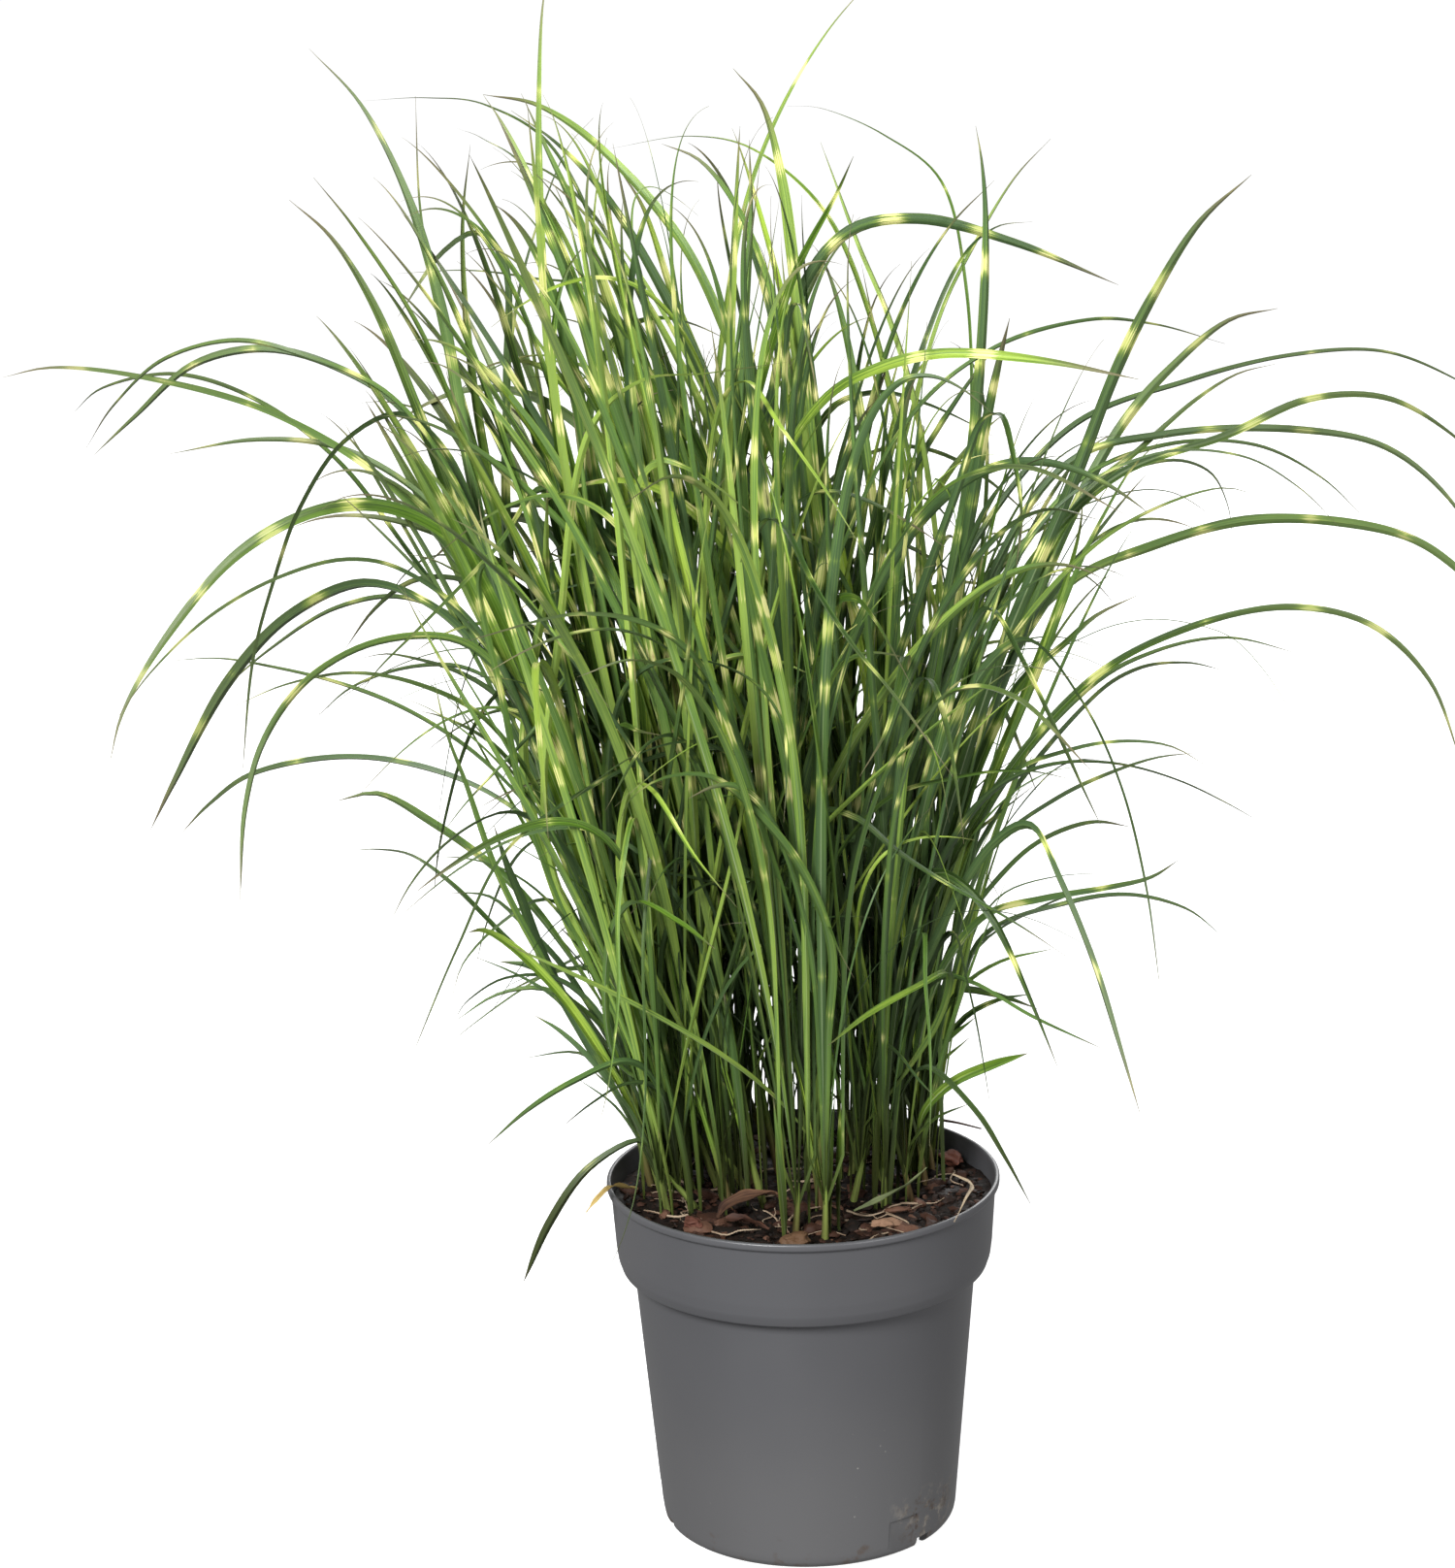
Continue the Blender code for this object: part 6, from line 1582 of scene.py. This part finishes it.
def add_crumbs(finish):
    """Bark, peat lumps and grit lying in and on the mix."""
    rng = random.Random(SEED + 3)
    body = Body("seed")
    for _ in range(CRUMBS):
        place = strewn(rng, CRUMBS_REACH * MM)
        long = min(rng.lognormvariate(*CRUMB_SIZE), CRUMB_LONGEST)
        size = (long, long * rng.uniform(0.3, 0.8), long * rng.uniform(0.15, 0.5))
        corners, faces = lump(rng, size, 1 if long < FINE_CRUMB else 2)
        turn = Matrix.Rotation(rng.uniform(0, 6.3), 3, "Z") @ Matrix.Rotation(rng.gauss(0, 0.35), 3, "X")
        limit = (inner_radius(SOIL_TOP / MM) - long * 0.6) * MM
        if place.length > limit:
            place *= limit / place.length
        place.z = soil_height(place.x, place.y) + size[2] * MM * rng.uniform(0.0, 0.3)
        body.add([turn @ corner + place for corner in corners], faces, seed=rng.random())
    return body.make("bark_crumbs", [finish], sharp=40)


def add_roots(finish):
    """Pale bare roots and straws on the mix: two where the photograph shows them, the rest strewn."""
    rng = random.Random(SEED + 4)
    body = Body("across", "along", "share", "seed")
    routes = [[Vector((x * CM, y * CM, 0.0)) for x, y in route] for route in ROOTS]
    for _ in range(STRAWS):
        route = [strewn(rng, STRAWS_REACH * MM)]
        way = rng.uniform(0, 2 * math.pi)
        for _ in range(4):
            way += rng.gauss(0, 0.6)
            route.append(route[-1] + heading(way) * rng.uniform(*STRAW_STEP))
        if all(point.length < RIM_INSIDE for point in route):
            routes.append(route)
    for route in routes:
        path = smooth_path([Vector((x, y, soil_height(x, y) + rng.uniform(0.8, 2.2) * MM))
                            for x, y, _ in route])
        thick = rng.uniform(*ROOT_THICK) * MM
        radii = [thick * (1 - 0.7 * (i / len(path)) ** 2) for i in range(len(path))]
        add_tube(body, path, radii, sides=6, seed=rng.random())
    return body.make("bare_roots", [finish])


# --- loose pieces ---------------------------------------------------------------------------------------

# Loose dead leaves: width and thickness in mm, their finish's name with its dark and pale colours, and
# the places they pass, as (across, back, up) in cm
DEAD_LEAVES = (
    ("dry_leaf_left", 4.8, 0.8, "straw_leaf", (0.300, 0.200, 0.060), (0.560, 0.430, 0.160),
     ((-9.7, -0.2, 20.5), (-10.4, -1.7, 21.1), (-11.0, -3.4, 21.85), (-11.8, -4.3, 21.5),
      (-12.5, -4.8, 20.8))),
    ("dry_leaf_right", 2.5, 0.8, "pale_leaf", (0.330, 0.240, 0.150), (0.600, 0.500, 0.360),
     ((8.8, 0.9, 20.6), (9.5, -1.0, 20.9), (9.7, -3.7, 21.5), (9.3, -6.4, 21.9), (8.5, -8.4, 21.2))),
    ("dry_sheath_back", 8, 1.0, "brown_sheath", (0.024, 0.011, 0.008), (0.140, 0.072, 0.040),
     ((-4.9, -5.2, 20.5), (-4.3, -4.2, 20.9), (-2.9, -3.4, 21.1), (-1.5, -3.4, 21.1), (-1.2, -5.0, 20.6))),
    ("dry_sheath_front", 8, 1.0, "red_sheath", (0.020, 0.008, 0.006), (0.095, 0.040, 0.022),
     ((-4.5, -5.9, 20.7), (-3.2, -6.3, 20.65), (-2.0, -7.1, 20.45))),
    ("dead_leaf_front", 4, 0.8, "faded_leaf", (0.070, 0.090, 0.040), (0.190, 0.220, 0.100),
     ((2.9, -4.6, 20.5), (4.6, -3.6, 20.9), (6.1, -2.5, 21.3), (7.2, -1.4, 21.9))),
)
TWIG = ((8.3, 7.2, 21.75), (9.3, 6.5, 21.8), (10.7, 5.5, 21.75))
TWIG_WIDE = 2.5
TWIG_COLOURS = (0.030, 0.016, 0.012), (0.150, 0.085, 0.055)
# Bark and the stub of a cut stem: size in mm, turn in radians, and dark and warm colours
BARK = (
    ("bark_chip_front", (15, 9, 4), 0.3, (0.070, 0.038, 0.024), (0.230, 0.135, 0.085)),
    ("bark_chip_right", (20, 11, 6), 2.0, (0.040, 0.014, 0.010), (0.150, 0.055, 0.036)),
    ("bark_chip_left", (13, 9, 5), 2.1, (0.034, 0.012, 0.009), (0.100, 0.038, 0.026)),
    ("cut_stub", (17, 12, 7), 0.1, (0.028, 0.015, 0.008), (0.100, 0.054, 0.028)),
)
BARK_OVER = 1.05  # how much larger than its solid a flake starts, before its unevenness
BARK_MIDDLE = 0.42  # of its height
BARK_GRAIN = 0.9


def lying(points):
    return smooth_path([Vector(point) * CM for point in points])


def add_dead_leaf(name, width, thick, finish, points):
    """A limp dead leaf, a little curled along its edges, pointed at both ends."""
    rng = random.Random(name)
    path = lying(points)
    path = as_rows([a.lerp(b, t) for a, b in zip(path, path[1:]) for t in (0.0, 0.33, 0.67)] + [path[-1]])
    tangent = unit(np.gradient(path, axis=0))
    side = unit(np.cross(tangent, (0.0, 0.0, 1.0)))
    share = np.linspace(0.0, 1.0, len(path))
    taper = np.maximum(np.sin(np.pi * np.clip(share + 0.06, 0, 0.98)), 0.06) ** 0.6
    half = width / 2 * MM * taper * (1 + 0.12 * np.sin(share * 23 + rng.uniform(0, 6)))
    side, up = rolled(side, np.cross(side, tangent), 0.5 * np.sin(share * 7 + rng.uniform(0, 6)))
    across, under = np.array(RING_ACROSS), np.array(RING_UNDER)
    reach = half[:, None] * across[None]
    lift = half[:, None] * across[None] ** 2 * 0.5 - np.where(under == 1.0, 0.35, 0.0)[None] * thick * MM
    body = Body("across", "along", "seed")
    body.add(spread(path, side, up, reach, lift),
             [face[::-1] for face in ring_faces(len(path), len(across))],
             across=np.tile(across, len(path)), along=np.repeat(lengths_of(path), len(across)),
             seed=rng.random())
    return body.make(name + "_skin", [finish], replaces=[name])


def add_twig():
    """A thin dead stalk across the back of the rim, thinner towards its end."""
    body = Body("across", "along", "share", "seed")
    path = lying(TWIG)
    radii = [TWIG_WIDE / 2 * MM * (1.0 - 0.6 * i / len(path)) for i in range(len(path))]
    add_tube(body, path, radii, sides=10, flat=0.7, seed=0.4)
    finish = dry_finish("twig_bark", *TWIG_COLOURS)
    return body.make("twig_skin", [finish], replaces=["twig"])


def add_chip(name, size, turn, finish):
    """A rough flake of bark, where its solid lies."""
    rng = random.Random(name)
    low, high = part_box(name)
    corners, faces = lump(rng, tuple(value * BARK_OVER for value in size), 4)
    spin = Matrix.Rotation(turn, 3, "Z")
    middle = (low + high) / 2
    middle.z = low.z + size[2] * BARK_MIDDLE * MM
    rough = []
    for corner in corners:
        point = spin @ corner
        point += point.normalized() * BARK_GRAIN * MM * noise.fractal(point * 420, 1.0, 2.0, 3)
        rough.append(point + middle)
    body = Body("seed")
    body.add(rough, faces, seed=0.75)
    return body.make(name + "_skin", [finish], sharp=45, replaces=[name])


def add_litter():
    for name, width, thick, finish, dark, pale, points in DEAD_LEAVES:
        add_dead_leaf(name, width, thick, dry_finish(finish, dark, pale), points)
    add_twig()
    for name, size, turn, dark, warm in BARK:
        add_chip(name, size, turn, crumb_finish(name + "_finish", dark, warm, warm, 0.8))


# --- floor, light and camera ----------------------------------------------------------------------------

# The photograph's view, worked out from the pot's outline
PHOTO_WIDE, PHOTO_HIGH = 1500, 1616
FOCAL_PIXELS = 4225.0
PITCH = math.radians(14.895)
YAW = math.radians(0.977)
ROLL = math.radians(1.402)
SENSOR = 36.0

FLOOR = ((0.0, 0.0), (40.0 / MM, 0.0), (60.0 / MM, 60.0 / MM))  # radii and heights in mm
FLOOR_SIDES = 32
FLOOR_GLOW = 0.85
SKY = 0.30
LIGHTS = (
    ("key", (-1.3, -2.7, 2.3), 1.4, 195.0),
    ("fill", (2.3, -2.6, 1.2), 2.0, 55.0),
    ("back", (0.8, 3.2, 2.2), 2.4, 70.0),
)  # place, size across and power
LIT = Vector((0.0, 0.0, 0.4))
WHITE = (1.0, 1.0, 1.0)


def add_camera():
    forward = Vector((-math.sin(YAW), math.cos(YAW), 0.0)) * math.cos(PITCH) - UP * math.sin(PITCH)
    right = heading(YAW)
    up = right.cross(forward)
    x = right * math.cos(ROLL) - up * math.sin(ROLL)
    y = right * math.sin(ROLL) + up * math.cos(ROLL)
    lens = bpy.data.cameras.new("camera")
    lens.sensor_width = SENSOR
    lens.lens = SENSOR * FOCAL_PIXELS / max(PHOTO_WIDE, PHOTO_HIGH)
    lens.clip_end = 200.0
    camera = bpy.data.objects.new("camera", lens)
    camera.matrix_world = Matrix.Translation(EYE) @ Matrix((x, y, -forward)).transposed().to_4x4()
    bpy.context.scene.collection.objects.link(camera)
    bpy.context.scene.camera = camera


def add_lights():
    """Soft lamps round the clump, and an even sky."""
    for name, place, size, power in LIGHTS:
        lamp = bpy.data.lights.new(name, "AREA")
        lamp.shape, lamp.size, lamp.energy = "DISK", size, power
        light = bpy.data.objects.new(name, lamp)
        turn = (LIT - Vector(place)).to_track_quat("-Z", "Y").to_matrix().to_4x4()
        light.matrix_world = Matrix.Translation(place) @ turn
        bpy.context.scene.collection.objects.link(light)
    world = bpy.data.worlds.new("studio")
    world.use_nodes = True
    sky = world.node_tree.nodes["Background"]
    sky.inputs["Color"].default_value = (*WHITE, 1.0)
    sky.inputs["Strength"].default_value = SKY
    bpy.context.scene.world = world


def add_floor():
    """A white floor that turns up into a wall far off all round."""
    mesh = plain("floor", *turned(FLOOR, FLOOR_SIDES))
    g = Graph("floor_white", Specular_IOR_Level=0.0)
    shade = g.mix(g.noise(g.place, 0.7, 2.0), (0.590, 0.590, 0.590), (0.610, 0.610, 0.610))
    g.feed(g.shader.inputs["Emission Color"], WHITE)
    g.feed(g.shader.inputs["Emission Strength"], FLOOR_GLOW)
    mesh.materials.append(g.finish(shade, 1.0))
    floor = bpy.data.objects.new("floor", mesh)
    floor.visible_diffuse = False
    floor.visible_glossy = False
    bpy.context.scene.collection.objects.link(floor)


def main():
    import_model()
    packed = [list(corner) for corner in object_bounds()]
    add_camera()
    add_floor()
    add_lights()
    bpy.context.scene.view_settings.view_transform = "Standard"
    bpy.context.scene.view_settings.look = "None"
    low, high = (Vector(corner) for corner in packed)
    tillers = plan_tillers()
    soil = crumb_finish("soil_crumb", *SOIL_COLOURS)
    add_pot()
    add_soil(soil)
    add_crumbs(soil)
    add_roots(dry_finish("bare_root", *ROOT_COLOURS))
    add_litter()
    add_grass(tillers, [blade_finish(), stem_finish()], low, high)


main()
